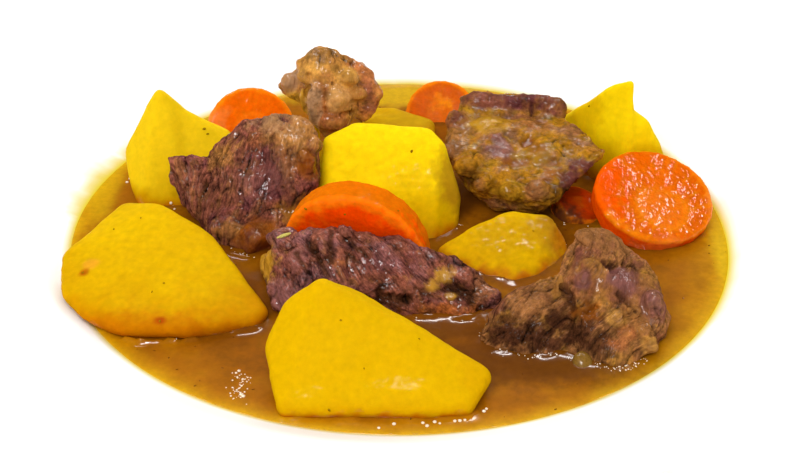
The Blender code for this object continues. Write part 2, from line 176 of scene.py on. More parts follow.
class Noise:
    """Smooth gradient noise in space, the same on every run."""

    PERIOD = 256
    GAIN = 1.7
    APART = 17.3

    def __init__(self, seed: int) -> None:
        """Makes the lattice.

        Args:
            seed: Any whole number; each gives its own noise.
        """
        draw = np.random.default_rng(seed)
        order = draw.permutation(self.PERIOD)
        self.order = np.concatenate([order, order])
        slopes = draw.normal(size=(self.PERIOD, 3))
        self.slopes = slopes / np.linalg.norm(slopes, axis=1)[:, None]

    def __call__(self, places: Array, size: float | Point) -> Array:
        """Reads the noise.

        Args:
            places: Points, one to a row, in millimetres.
            size: How wide a lump is, or how wide along each axis.

        Returns:
            One value for each point, from about -1 to 1.
        """
        grid = places / np.asarray(size, float)
        cell = np.floor(grid).astype(int)
        part = grid - cell
        blend = part ** 3 * (part * (part * 6 - 15) + 10)
        total = np.zeros(len(places))
        for corner in np.ndindex(2, 2, 2):
            step = np.array(corner)
            index = (cell + step) % self.PERIOD
            pick = self.order[self.order[self.order[index[:, 0]] + index[:, 1]] + index[:, 2]]
            slope = np.einsum("ij,ij->i", self.slopes[pick], part - step)
            total += slope * np.prod(np.where(step, blend, 1 - blend), axis=1)
        return total * self.GAIN

    def fractal(self, places: Array, size: float, octaves: int = 4, fade: float = 0.5) -> Array:
        """Sums ever finer noise.

        Args:
            places: Points, one to a row, in millimetres.
            size: How wide the largest lumps are.
            octaves: How many sizes are summed, each half the last.
            fade: The height of each size as a share of the last.

        Returns:
            One value for each point, from about -1 to 1.
        """
        total = np.zeros(len(places))
        for level in range(octaves):
            total += fade ** level * self(places + level * self.APART, size / 2 ** level)
        return total


def per_metre(size: float) -> float:
    """The noise scale whose lumps are about this many millimetres wide."""
    return 1.0 / (size * MM)


class Surface:
    """A material under work, whose plain values sit on its shader."""

    def __init__(self, name: str, **values: object) -> None:
        """Starts the material.

        Args:
            name: The real material's name.
            values: Shader inputs, with an underscore for each space.
        """
        self.made = bpy.data.materials.new(name)
        self.made.use_nodes = True
        self.tree = self.made.node_tree
        self.shader = self.tree.nodes["Principled BSDF"]
        for key, value in values.items():
            self.shader.inputs[key.replace("_", " ")].default_value = value

    def add(self, kind: str, inputs: dict, output: int | str = 0, **settings: object) -> NodeSocket:
        """Adds one node.

        Args:
            kind: The node's type.
            inputs: Its inputs by name or number, each a socket to link or a value to set.
            output: The output that is wanted.
            settings: Its own settings; stops are a colour ramp's positions and colours.

        Returns:
            The wanted output.
        """
        node = self.tree.nodes.new("ShaderNode" + kind)
        for number, (position, colour) in enumerate(settings.pop("stops", ())):
            node.color_ramp.elements[number].position = position
            node.color_ramp.elements[number].color = colour
        for name, value in settings.items():
            setattr(node, name, value)
        for name, value in inputs.items():
            if isinstance(value, NodeSocket):
                self.tree.links.new(value, node.inputs[name])
            else:
                node.inputs[name].default_value = value
        return node.outputs[output]

    @cached_property
    def place(self) -> NodeSocket:
        """Where on the piece a point lies, in metres."""
        return self.add("TexCoord", {}, "Object")

    @cached_property
    def tint(self) -> NodeSocket:
        """The colour that the piece carries at each point."""
        return self.add("Attribute", {}, "Color", attribute_name="tint")

    def wear(self, **sockets: NodeSocket) -> None:
        """Links sockets to the shader's inputs, with an underscore for each space."""
        for key, socket in sockets.items():
            self.tree.links.new(socket, self.shader.inputs[key.replace("_", " ")])

    def soaked(self, dry: float, wet: float, start: float = 0.0) -> NodeSocket:
        """A value that goes from dry to wet as a point's wetness goes from a start to 1."""
        wetness = self.add("Attribute", {}, "Fac", attribute_name="wet")
        return self.add("MapRange", {0: wetness, 1: start, 2: 1.0, 3: dry, 4: wet})

    def dyed(
        self, tint: NodeSocket, where: NodeSocket, size: float, depth: float, share: NodeSocket | float = 1.0,
    ) -> NodeSocket:
        """Makes a colour a little lighter and darker by noise.

        Args:
            tint: The colour.
            where: The coordinates of the noise, in metres.
            size: How wide its spots are.
            depth: How much lighter or darker it makes them.
            share: How much of that shows.

        Returns:
            The new colour.
        """
        scale = per_metre(size)
        noise = self.add("TexNoise", {"Vector": where, "Scale": scale, "Detail": 5.0, "Roughness": 0.65})
        swing = self.add("MapRange", {0: noise, 1: 0.25, 2: 0.75, 3: -depth, 4: depth})
        level = self.add("Math", {0: swing, 1: share, 2: 1.0}, operation="MULTIPLY_ADD")
        return self.add("VectorMath", {0: tint, 1: level}, operation="MULTIPLY")

    def dented(
        self, where: NodeSocket, size: float, detail: float, depth: float, strength: float,
        layers: tuple[str, ...] = ("Normal", "Coat_Normal"),
    ) -> None:
        """Roughens the surface by noise, the wet coat on it or both.

        Args:
            where: The coordinates of the noise, in metres.
            size: How wide its bumps are.
            detail: How far they break up into finer ones.
            depth: How high they are.
            strength: How much of that shows.
            layers: The shader's inputs that are roughened.
        """
        noise = self.add("TexNoise", {"Vector": where, "Scale": per_metre(size), "Detail": detail})
        bump = self.add("Bump", {"Height": noise, "Strength": strength, "Distance": depth * MM})
        self.wear(**dict.fromkeys(layers, bump))


@dataclass(frozen=True)
class BoiledPotato:
    """Waxy yellow potato, cut with a knife and boiled soft.

    Its starchy flesh lets light in a little, so edges glow and faces look soft; stock soaks in
    near the gravy and turns it amber. The tint that it reads also holds painted shade low down
    and painted light on top.
    """

    mottle: float = 1.7
    grit: float = 0.6

    def build(self) -> Material:
        """Makes the material.

        Returns:
            The material.
        """
        surface = Surface(
            "boiled_yellow_potato", Roughness=0.6, IOR=1.36, Specular_IOR_Level=0.02, Subsurface_Weight=0.2,
            Subsurface_Radius=(1.0, 0.5, 0.05), Subsurface_Scale=1.4 * MM, Coat_Roughness=0.12,
        )
        surface.wear(Base_Color=surface.dyed(surface.tint, surface.place, self.mottle, 0.09))
        surface.wear(Coat_Weight=surface.soaked(0.0, 0.6, 0.15))
        surface.dented(surface.place, self.grit, 3.0, 0.14, 0.25)
        return surface.made


@dataclass(frozen=True)
class StewedCarrot:
    """Carrot stewed through: dense orange flesh with a wet glassy skin of stock that glints."""

    mottle: float = 1.6
    ripple: float = 1.1

    def build(self) -> Material:
        """Makes the material.

        Returns:
            The material.
        """
        surface = Surface(
            "stewed_carrot", Roughness=0.6, IOR=1.38, Specular_IOR_Level=0.0, Subsurface_Weight=0.25,
            Subsurface_Radius=(1.0, 0.3, 0.05), Subsurface_Scale=1.6 * MM, Coat_Roughness=0.03,
        )
        surface.wear(Base_Color=surface.dyed(surface.tint, surface.place, self.mottle, 0.16))
        surface.wear(Coat_Weight=surface.soaked(0.0, 0.45))
        surface.dented(surface.place, self.ripple, 1.0, 0.4, 0.4)
        return surface.made


@dataclass(frozen=True)
class BraisedBeef:
    """Beef braised until its fibres part: wine-brown meat, ochre fat and a wet coat of stock.

    The coat is uneven, so the surface breaks into small sharp glints beside dull meat.
    """

    fibre: float = 0.5
    speck: float = 0.9
    film: float = 0.55

    def build(self) -> Material:
        """Makes the material.

        Returns:
            The material.
        """
        surface = Surface("braised_beef", IOR=1.4, Specular_IOR_Level=0.0, Coat_Roughness=0.1, Coat_IOR=1.45)
        # The third attribute is the meat's random tone with its painted shade and painted light; the colour
        # is multiplied by it.
        streak, bare, tone_and_shade = (
            surface.add("Attribute", {}, "Fac", attribute_name=name) for name in ("streak", "bare", "tone_and_shade")
        )
        grain = surface.add("Attribute", {}, "Vector", attribute_name="grain")
        along = surface.add("VectorMath", {0: grain, 1: (MM, MM, MM)}, operation="MULTIPLY")
        streaked = surface.dyed(surface.tint, along, self.fibre, 0.75, streak)
        spotted = surface.dyed(streaked, surface.place, self.speck, 0.55, bare)
        surface.wear(Base_Color=surface.add("VectorMath", {0: spotted, 1: tone_and_shade}, operation="MULTIPLY"))
        surface.wear(Coat_Weight=surface.soaked(0.05, 0.8), Roughness=surface.soaked(0.6, 0.35))
        surface.dented(along, self.fibre, 3.0, 0.5, 1.0, ("Normal",))
        surface.dented(surface.place, self.film, 1.0, 0.25, 0.6, ("Coat_Normal",))
        return surface.made


@dataclass(frozen=True)
class ThinGravy:
    """Stock gravy, golden where it is shallow and brown where it is deep, with a wet level top."""

    silt: float = 1.6

    def build(self) -> Material:
        """Makes the material.

        Returns:
            The material.
        """
        surface = Surface("stock_gravy", Roughness=0.14, IOR=1.36)
        surface.wear(Base_Color=surface.dyed(surface.tint, surface.place, self.silt, 0.16))
        surface.dented(surface.place, self.silt, 4.0, 0.1, 0.15)
        return surface.made


@dataclass(frozen=True)
class GlazedPorcelain:
    """White porcelain under clear glaze, faintly stained where gravy has run down the wall."""

    body: str = "fefefc"
    stain: str = "dcc628"

    def build(self) -> Material:
        """Makes the material.

        Returns:
            The material.
        """
        surface = Surface(
            "white_glazed_porcelain", Roughness=0.3, IOR=1.5, Specular_IOR_Level=0.05, Coat_Weight=0.12,
            Coat_Roughness=0.05,
        )
        stain = surface.add("Attribute", {}, "Fac", attribute_name="stain")
        colours = {0: stain, 6: linear(self.body), 7: linear(self.stain)}
        surface.wear(Base_Color=surface.add("Mix", colours, 2, data_type="RGBA"))
        return surface.made


@dataclass(frozen=True)
class BitFinish:
    """What one kind of small thing is made of, mottled finely so that it doesn't look cast."""

    colour: str
    roughness: float
    speckle: float = 0.0
    transmission: float = 0.0
    coat: float = 0.4
    mottle: float = 0.5

    def build(self, name: str) -> Material:
        """Makes the material.

        Args:
            name: The material's name.

        Returns:
            The material.
        """
        surface = Surface(
            name, Roughness=self.roughness, IOR=1.38, Transmission_Weight=self.transmission,
            Specular_IOR_Level=0.0, Coat_Weight=self.coat, Coat_Roughness=0.05,
        )
        scale = per_metre(self.mottle)
        noise = surface.add("TexNoise", {"Vector": surface.place, "Scale": scale, "Detail": 2.0})
        base = linear(self.colour)
        dark = (*(share * (1 - self.speckle) for share in base[:3]), 1.0)
        surface.wear(Base_Color=surface.add("ValToRGB", {"Fac": noise}, stops=[(0.35, dark), (0.6, base)]))
        return surface.made


@dataclass
class Ball:
    """A soft lump joined to a piece: its middle, half sizes, colour and turn, and how bare it stays."""

    FULL = 0.95
    GONE = 1.5

    at: Point
    half: Point
    tint: Tint
    turn: Point = (0.0, 0.0, 0.0)
    weight: float = 0.75
    calm: float = 0.8

    def add_to(self, bm: BMesh) -> None:
        """Adds the lump to a mesh."""
        bmesh.ops.create_icosphere(bm, subdivisions=3, radius=1.0, matrix=self.place())

    def place(self) -> Matrix:
        """Works out where the lump's unit shape goes.

        Returns:
            Its place, turn and size, in metres.
        """
        turned = Matrix.LocRotScale(Vector(self.at) * MM, None, None)
        for angle, axis in zip(self.turn, "XYZ"):
            turned = turned @ Matrix.Rotation(math.radians(angle), 4, axis)
        return turned @ Matrix.Diagonal((*(Vector(self.half) * MM), 1.0))

    def share(self, points: Array) -> Array:
        """How far each point belongs to the lump, from 0 to 1."""
        inverse = np.array(self.place().inverted())
        return ease(self.GONE, self.FULL, self.distance((points * MM) @ inverse[:3, :3].T + inverse[:3, 3]))

    def distance(self, local: Array) -> Array:
        """Distance from the middle in the lump's own measure, where 1 is its surface."""
        return np.linalg.norm(local, axis=1)


@dataclass
class Block(Ball):
    """A lump with flat sides and soft edges."""

    softness: float = 0.35

    def add_to(self, bm: BMesh) -> None:
        """Adds the block to a mesh.

        Args:
            bm: The mesh.
        """
        made = bmesh.ops.create_cube(bm, size=2.0)
        edges = {edge for vert in made["verts"] for edge in vert.link_edges}
        rounded = bmesh.ops.bevel(
            bm, geom=list(edges), offset=self.softness, segments=3, profile=0.5, affect="EDGES", material=-1,
        )
        verts = {vert for face in rounded["faces"] for vert in face.verts}
        bmesh.ops.transform(bm, matrix=self.place(), verts=list(verts))

    def distance(self, local: Array) -> Array:
        """Distance from the middle in the block's own measure, where 1 is its surface."""
        return np.abs(local).max(axis=1)


@dataclass
class Patch:
    """A soft ragged area of a piece: its colour, how far it stands out and how smooth and wet it is."""

    tint: Tint
    at: Point
    reach: Point
    weight: float
    lift: float = 0.0
    calm: float = 0.0
    wet: float = 0.0


@dataclass
class Groove:
    """A parting between fibres: where it runs, how wide and deep it is, and the colour laid in it, painted
    shade unless another is given.
    """

    FACING: ClassVar[Point] = (0.0, -0.7, 0.71)
    WEIGHT: ClassVar[float] = 0.9

    start: Point
    end: Point
    width: float = 1.3
    depth: float = 1.4
    tint: Tint = Tint.DARK


def from_line(points: Array, start: tuple[float, ...], end: tuple[float, ...]) -> Array:
    """The shortest way from a line to each point, one to a row.

    Args:
        points: The points.
        start: One end of the line.
        end: Its other end.

    Returns:
        What has to be added to the line's nearest place to come to each point.
    """
    way = np.subtract(end, start)
    along = np.clip((points - start) @ way / (way @ way), 0.0, 1.0)
    return points - start - np.outer(along, way)


class Paint:
    """What is laid on the points of a piece: colour, lift, calm and wetness."""

    RAGGED = 0.4
    RAGGED_WIDTH = 3.2
    PATCH_EDGE = (1.1, 0.4)
    GROOVE_EDGE = (1.1, 0.15)
    GROOVE_FLATTENED = 0.7

    def __init__(self, points: Array, noise: Noise, colour: Array, ragged: float = 1.0) -> None:
        """Starts from one colour for each point, or from one for them all.

        Args:
            points: The points, in millimetres.
            noise: What makes the patches ragged.
            colour: One row of linear colour, or one for each point.
            ragged: How ragged the patches are.
        """
        self.points = points
        self.ragged = self.RAGGED * ragged * noise.fractal(points + 5.0, self.RAGGED_WIDTH, 4, 0.6)
        self.colour = np.zeros((len(points), 3)) + colour
        self.lift, self.calm, self.wet = np.zeros((3, len(points)))

    def lay(self, share: Array, tint: Tint) -> None:
        """Blends a colour in by a share at each point."""
        self.colour += np.clip(share, 0.0, 1.0)[:, None] * (tint.light - self.colour)

    def patch(self, patch: Patch) -> None:
        """Lays one patch.

        Args:
            patch: The patch.
        """
        away = np.linalg.norm((self.points - np.array(patch.at)) / np.array(patch.reach, float), axis=1)
        share = ease(*self.PATCH_EDGE, away + self.ragged)
        self.lay(share * patch.weight, patch.tint)
        self.lift += share * patch.lift
        self.calm = np.maximum(self.calm, share * patch.calm)
        self.wet = np.maximum(self.wet, share * patch.wet)

    def groove(self, groove: Groove) -> None:
        """Cuts one groove, deepest along its line, and lays its colour in it, painted shade unless another is
        given.

        Args:
            groove: The groove.
        """
        facing = np.array(groove.FACING)
        off = from_line(self.points, groove.start, groove.end)
        off -= self.GROOVE_FLATTENED * np.outer(off @ facing, facing)
        share = ease(*self.GROOVE_EDGE, np.linalg.norm(off, axis=1) / groove.width + self.ragged)
        self.lay(share * groove.WEIGHT, groove.tint)
        self.lift -= share * groove.depth

    def lump(self, lump: Ball) -> None:
        """Colours one lump and smooths it.

        Args:
            lump: The lump.
        """
        share = lump.share(self.points)
        self.lay((lump.weight + self.ragged) * share, lump.tint)
        self.calm = np.maximum(self.calm, lump.calm * share)


def put(name: str, data: Mesh | bpy.types.Light | bpy.types.Camera) -> Object:
    """Puts a new object into the scene.

    Args:
        name: Its name.
        data: What it holds.

    Returns:
        The object, at the origin.
    """
    obj = bpy.data.objects.new(name, data)
    bpy.context.scene.collection.objects.link(obj)
    return obj


def mesh_of(bm: BMesh, name: str) -> Mesh:
    """Turns a bmesh into a mesh and frees it.

    Args:
        bm: The bmesh.
        name: The mesh's name.

    Returns:
        The mesh.
    """
    mesh = bpy.data.meshes.new(name)
    bm.to_mesh(mesh)
    bm.free()
    return mesh


def note(mesh: Mesh, name: str, values: Array) -> None:
    """Keeps a number or a row of three for each point of a mesh, for its material to read.

    Args:
        mesh: The mesh.
        name: The attribute's name.
        values: One number or one row of three for each point.
    """
    kind, key = ("FLOAT_VECTOR", "vector") if values.ndim == 2 else ("FLOAT", "value")
    attribute = mesh.attributes.new(name, kind, "POINT")
    attribute.data.foreach_set(key, values.astype(np.float32).ravel())


def points_of(mesh: Mesh) -> Array:
    """Reads the points of a mesh.

    Args:
        mesh: The mesh.

    Returns:
        The points in millimetres, one to a row.
    """
    found = np.empty(len(mesh.vertices) * 3, np.float32)
    mesh.vertices.foreach_get("co", found)
    return found.reshape(-1, 3).astype(float) / MM


def move_points(mesh: Mesh, points: Array) -> None:
    """Moves the points of a mesh to new places, in millimetres."""
    mesh.vertices.foreach_set("co", (points * MM).astype(np.float32).ravel())
    mesh.update()


def show(mesh: Mesh, slot: str, finish: Material, *nodes: str) -> Object:
    """Shows a finished mesh as a piece that rides on the one body.

    Args:
        mesh: The mesh, which gives the piece its name.
        slot: The record's material slot; not used.
        finish: Its material.
        nodes: The CAD nodes that it stands for.

    Returns:
        The shown object.
    """
    mesh.materials.append(finish)
    mesh.shade_smooth()
    obj = put(mesh.name, mesh)
    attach(obj, ROOT)
    if nodes:
        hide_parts(*nodes)
    log.info("%s: %d faces", mesh.name, len(mesh.polygons))
    return obj


class Skin:
    """A closed surface grown from a CAD solid, whose points can be pushed about."""

    def __init__(self, name: str, node: str, voxel: float, soften: int, lumps: list[Ball]) -> None:
        """Copies the solid, joins its lumps and gives it an even fine surface.

        Args:
            name: The new piece's name.
            node: The CAD node that it stands for.
            voxel: The size of its faces, in millimetres.
            soften: How often its edges are smoothed.
            lumps: What is joined to it.
        """
        bm = bmesh.new()
        bm.from_mesh(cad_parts[node].data)
        bmesh.ops.remove_doubles(bm, verts=bm.verts, dist=MERGE)
        for lump in lumps:
            lump.add_to(bm)
        rough = mesh_of(bm, name + "_rough")
        draft = put(name + "_draft", rough)
        remesh = draft.modifiers.new("even", "REMESH")
        remesh.mode = "VOXEL"
        remesh.voxel_size = voxel * 1.0 * MM
        draft.modifiers.new("soften", "SMOOTH").iterations = soften
        graph = bpy.context.evaluated_depsgraph_get()
        self.mesh = bpy.data.meshes.new_from_object(draft.evaluated_get(graph), depsgraph=graph)
        self.mesh.name = name
        self.mesh.materials.clear()
        bpy.data.objects.remove(draft, do_unlink=True)
        bpy.data.meshes.remove(rough)
        self.points = points_of(self.mesh)

    def push(self, amount: Array) -> None:
        """Moves each point out along its normal.

        Args:
            amount: How far each point is moved, in millimetres.
        """
        normals = np.empty(len(self.points) * 3, np.float32)
        self.mesh.vertex_normals.foreach_get("vector", normals)
        self.points = self.points + normals.reshape(-1, 3).astype(float) * amount[:, None]
        move_points(self.mesh, self.points)


@dataclass
class Food:
    """One piece of food, grown from its CAD node, with the lumps and patches that are its own."""

    SLOT: ClassVar[str]
    PIECE: ClassVar[str]
    VOXEL: ClassVar[float]
    SOFTEN: ClassVar[int]

    node: str
    seed: int
    lumps: list[Ball] = field(default_factory=list, kw_only=True)
    patches: list[Patch] = field(default_factory=list, kw_only=True)

    def build(self, finish: Material) -> Object:
        """Grows, dresses and shows the piece.

        Args:
            finish: Its material.

        Returns:
            The shown object.
        """
        skin = Skin(self.node.replace(self.SLOT, self.PIECE), self.node, self.VOXEL, self.SOFTEN, self.lumps)
        self.dress(skin, skin.points, Noise(self.seed))
        return show(skin.mesh, self.SLOT, finish, self.node)

    def dress(self, skin: Skin, points: Array, noise: Noise) -> None:
        """Shapes and colours the piece; each kind of food has its own way."""
        raise NotImplementedError


@dataclass
class Potato(Food):
    """One chunk of potato: softened edges, a dented skin, amber at its foot from stock and painted shade, and
    painted light that pales its top.
    """

    SLOT = "potato"
    PIECE = "potato_chunk"
    VOXEL = 0.55
    SOFTEN = 12

    # How high the amber foot reaches, stock soak with painted shade on it, and the height over which the
    # flesh pales upward as painted light.
    soak_and_shade: float = 2.5
    fade: float = 14.0
    flesh: tuple[Tint, Tint] = (Tint.FLESH, Tint.FLESH_LIT)
    mottled: float = 0.03
    waver: float = 1.4
    dent: float = 0.45
    dent_width: float = 13.0
    grit: float = 0.035
    grit_width: float = 2.4
    pit: float = 0.14
    pit_width: float = 1.7

    def dress(self, skin: Skin, points: Array, noise: Noise) -> None:
        """Dents and pits the chunk, and colours it from its foot up: amber for stock soak and painted
        shade, darker flesh low down for painted shade and paler flesh on top for painted light.

        Args:
            skin: Its surface.
            points: The surface's points before they are pushed.
            noise: Its own noise.
        """
        height = points[:, 2] - POOL_Z + self.waver * noise.fractal(points, 5.0, 3)
        # Painted shade and light by height: amber at the foot for stock soak and shade, darker flesh low down
        # and paler flesh toward the top.
        paint = Paint(points, noise, ramp(height, [
            (0.0, Tint.SOAKED_AND_SHADED), (self.soak_and_shade, Tint.FLESH_SHADED), (self.soak_and_shade + 2.5, self.flesh[0]),
            (self.soak_and_shade + self.fade, self.flesh[0]), (self.soak_and_shade + 2 * self.fade, self.flesh[1]),
        ]), 0.5)
        for patch in self.patches:
            paint.patch(patch)
        paint.colour *= 1.0 + self.mottled * noise.fractal(points + 3.0, 1.6, 3)[:, None]
        skin.push(
            self.dent * noise.fractal(points, self.dent_width, 3)
            + self.grit * noise.fractal(points, self.grit_width, 3)
            - self.pit * ease(0.5, 0.75, noise(points, self.pit_width))
            + paint.lift + 0.5 * paint.wet * noise.fractal(points, 1.6, 2)
        )
        note(skin.mesh, "tint", paint.colour)
        note(skin.mesh, "wet", np.maximum(paint.wet, ease(1.8, 0.6, height)))


@dataclass
class Carrot(Food):
    """One slice of carrot, coloured round the heart of its face: core, rays, ring and skin."""

    SLOT = "carrot"
    PIECE = "carrot_slice"
    VOXEL = 0.38
    SOFTEN = 4

    middle: Point
    radius: float
    turn: float
    rise: float
    heart: Point
    flesh: Tint = Tint.CARROT
    skin: Tint = Tint.CARROT_SKIN
    core: float = 0.4
    rays: float = 0.15
    gloss: float = 0.35
    dent: float = 0.16
    dent_width: float = 6.0
    ripple: float = 0.08
    ripple_width: float = 1.5
    ring_depth: float = 0.18
    ring_width: float = 0.07
    wobble: float = 0.05

    def dress(self, skin: Skin, points: Array, noise: Noise) -> None:
        """Colours the slice round its heart and sinks the ring about its core.

        Args:
            skin: Its surface.
            points: The surface's points before they are pushed.
            noise: Its own noise.
        """
        turn = Matrix.Rotation(math.radians(self.turn), 3, "Z")
        axes = np.array(turn @ Matrix.Rotation(math.radians(90 - self.rise), 3, "Y"))
        from_middle = (points - np.array(self.middle)) @ axes
        from_heart = (points - np.array(self.heart)) @ axes
        rim = np.hypot(from_middle[:, 0], from_middle[:, 1]) / self.radius
        away = np.hypot(from_heart[:, 0], from_heart[:, 1]) / self.radius
        angle = np.arctan2(from_heart[:, 1], from_heart[:, 0])
        on_face = ease(-1.7, -0.7, from_middle[:, 2])
        wobble = self.wobble * noise.fractal(points, 5.0, 2)
        rays = noise.fractal(np.c_[np.cos(angle) * 5, np.sin(angle) * 5, away * 1.6], 0.5, 3)
        core = ease(self.core + 0.06, self.core - 0.06, away + wobble)
        ring = np.exp(-(((away + wobble - self.core) / self.ring_width) ** 2))
        paint = Paint(points, noise, self.flesh.light)
        paint.lay(self.rays * ease(0.0, 0.6, rays) * ease(0.1, 0.3, away), Tint.CARROT_LIGHT)
        paint.lay((0.2 + self.rays) * core, Tint.CARROT_CORE)
        paint.lay(0.8 * self.rays * core * ease(0.1, 0.5, rays), Tint.CARROT_PALE)
        paint.lay(0.9 * self.rays * ring, Tint.CARROT_LIGHT)
        paint.lay(0.5 * ease(0.84, 0.93, rim + wobble), Tint.CARROT_LIGHT)
        paint.lay(1.0 - on_face, self.skin)
        for patch in self.patches:
            paint.patch(patch)
        skin.push(
            self.dent * noise.fractal(points, self.dent_width, 3) - on_face * self.ring_depth * ring
            + self.ripple * (1 - paint.calm) * noise.fractal(points, self.ripple_width, 3) + paint.lift
        )
        note(skin.mesh, "tint", paint.colour)
        note(skin.mesh, "wet", np.clip(self.gloss * (1 - paint.calm) + paint.wet, 0.0, 1.0))


@dataclass
class Beef(Food):
    """One piece of braised beef: fibres along its grain, a few clefts, gelatin lumps, fat and glaze."""

    SLOT = "beef"
    PIECE = "beef_chunk"
    VOXEL = 0.35
    SOFTEN = 9
    BUNDLE_SIZE = (3.4, 22.0)
    THREAD_SIZE = (1.15, 1.15, 8.0)
    HAIR_SIZE = (0.6, 0.6, 3.2)
    SPLIT_SIZE = (5.5, 5.5, 20.0)
    STREAK_SIZE = (1.5, 1.5, 7.0)
    FLECK_SIZE = (1.2, 1.2, 2.6)
    FIBRE_STRETCH = (1.0, 1.0, 0.16)

    grain: Point
    base: tuple[Tint, Tint, Tint] = (Tint.MEAT, Tint.BROWN, Tint.WINE)
    grooves: list[Groove] = field(default_factory=list)
    tone: float = 1.0
    bend: float = 3.0
    sweep: float = 0.0
    coarse: float = 1.0
    bundle: float = 0.9
    fine: float = 1.2
    cleft: float = 1.0
    granular: float = 0.12
    grain_size: float = 1.7
    dressed: float = 0.0
    mix: float = 0.5
    flecked: float = 0.12

    def strand(self, points: Array, noise: Noise) -> Array:
        """Turns points to the measure of the fibres, which bend and sag.

        Args:
            points: The points.
            noise: The piece's own noise.

        Returns:
            Two rows across the fibres and one along them, for each point.
        """
        warp = np.stack([noise(points + shift, 12.0) for shift in (0.0, 31.0, 67.0)], axis=1)
        along = Vector(self.grain).normalized()
        across = along.orthogonal().normalized()
        sag = np.outer(-0.5 * self.sweep * (points[:, 0] - points[:, 0].mean()) ** 2, UP)
        return (points + warp * self.bend + sag) @ np.array([across, along.cross(across), along]).T

    def dress(self, skin: Skin, points: Array, noise: Noise) -> None:
        """Parts the fibres, colours the meat with painted shade in its hollows and painted light on its
        crests, and lays stock on it.

        Args:
            skin: Its surface.
            points: The surface's points before they are pushed.
            noise: Its own noise.
        """
        strand = self.strand(points, noise)
        wide, long = self.BUNDLE_SIZE
        bundle = noise(strand, (wide * self.coarse, wide * self.coarse, long))
        thread = noise(strand + 80.0, self.THREAD_SIZE)
        hair = noise(strand + 160.0, self.HAIR_SIZE)
        split = noise(strand + 40.0, self.SPLIT_SIZE)
        clefts = ease(0.055, 0.0, np.abs(split)) * ease(0.1, 0.4, noise(points + 9.0, 8.0))
        pits = ease(0.6, 0.78, noise(points + 21.0, 2.1))
        paint = Paint(points, noise, self.base[0].light)
        streaks = noise(strand + 7.0, self.STREAK_SIZE) + 0.6 * noise(points, 6.0)
        paint.lay(self.mix * ease(-0.1, 0.6, streaks), self.base[1])
        paint.lay(ease(0.0, 0.6, noise.fractal(points + 33.0, 7.5, 3)), self.base[2])
        paint.lay(self.flecked * ease(0.3, 0.6, noise(points + 60.0, 2.4)), Tint.RUST)
        paint.lay(self.flecked * ease(0.42, 0.65, noise(strand + 120.0, self.FLECK_SIZE)), Tint.OCHRE)
        for patch in self.patches:
            paint.patch(patch)
        for lump in self.lumps:
            paint.lump(lump)
        for groove in self.grooves:
            paint.groove(groove)
        bare = 1.0 - paint.calm
        grains = noise.fractal(points + 90.0, self.grain_size, 3)
        strands = self.bundle * (np.abs(bundle) - 0.25)
        strands += self.fine * (0.3 * (np.abs(thread) - 0.2) + 0.1 * hair)
        skin.push(
            paint.lift + 0.6 * noise.fractal(points, 7.0, 3) + self.granular * (0.25 + 0.75 * bare) * grains
            + bare * (strands - self.cleft * clefts - 0.5 * pits)
        )
        # Painted shade and light: clefts, pits and the seams between bundles are darkened, bundle crests and
        # raised grains are lightened, over a random tone, and the result multiplies the meat's colour.
        parted = min(1.0, self.bundle)
        seam_shade = 0.55 * ease(0.08, 0.0, np.abs(bundle)) * parted
        seam_shade += self.fine * (0.28 * ease(0.1, 0.0, np.abs(thread)) + 0.2 * ease(0.0, -0.4, hair))
        dark = bare * (0.8 * clefts + 0.5 * pits + seam_shade)
        light = 1.1 + (0.1 + 0.2 * bare) * grains + (0.15 + 0.2 * bare) * noise.fractal(points + 70.0, 4.0, 3)
        light += 0.6 * bare * parted * (np.abs(bundle) - 0.3)
        puddled = ease(0.0, 0.5, noise.fractal(points + 44.0, 5.0, 3))
        for name, values in {
            "grain": strand * np.array(self.FIBRE_STRETCH),
            "tone_and_shade": self.tone * np.clip(light - dark, 0.1, 1.4),
            "bare": bare,
            "streak": bare * min(1.0, self.fine),
            "tint": paint.colour,
            "wet": np.clip(self.dressed + paint.wet + puddled, 0.0, 1.0),
        }.items():
            note(skin.mesh, name, values)


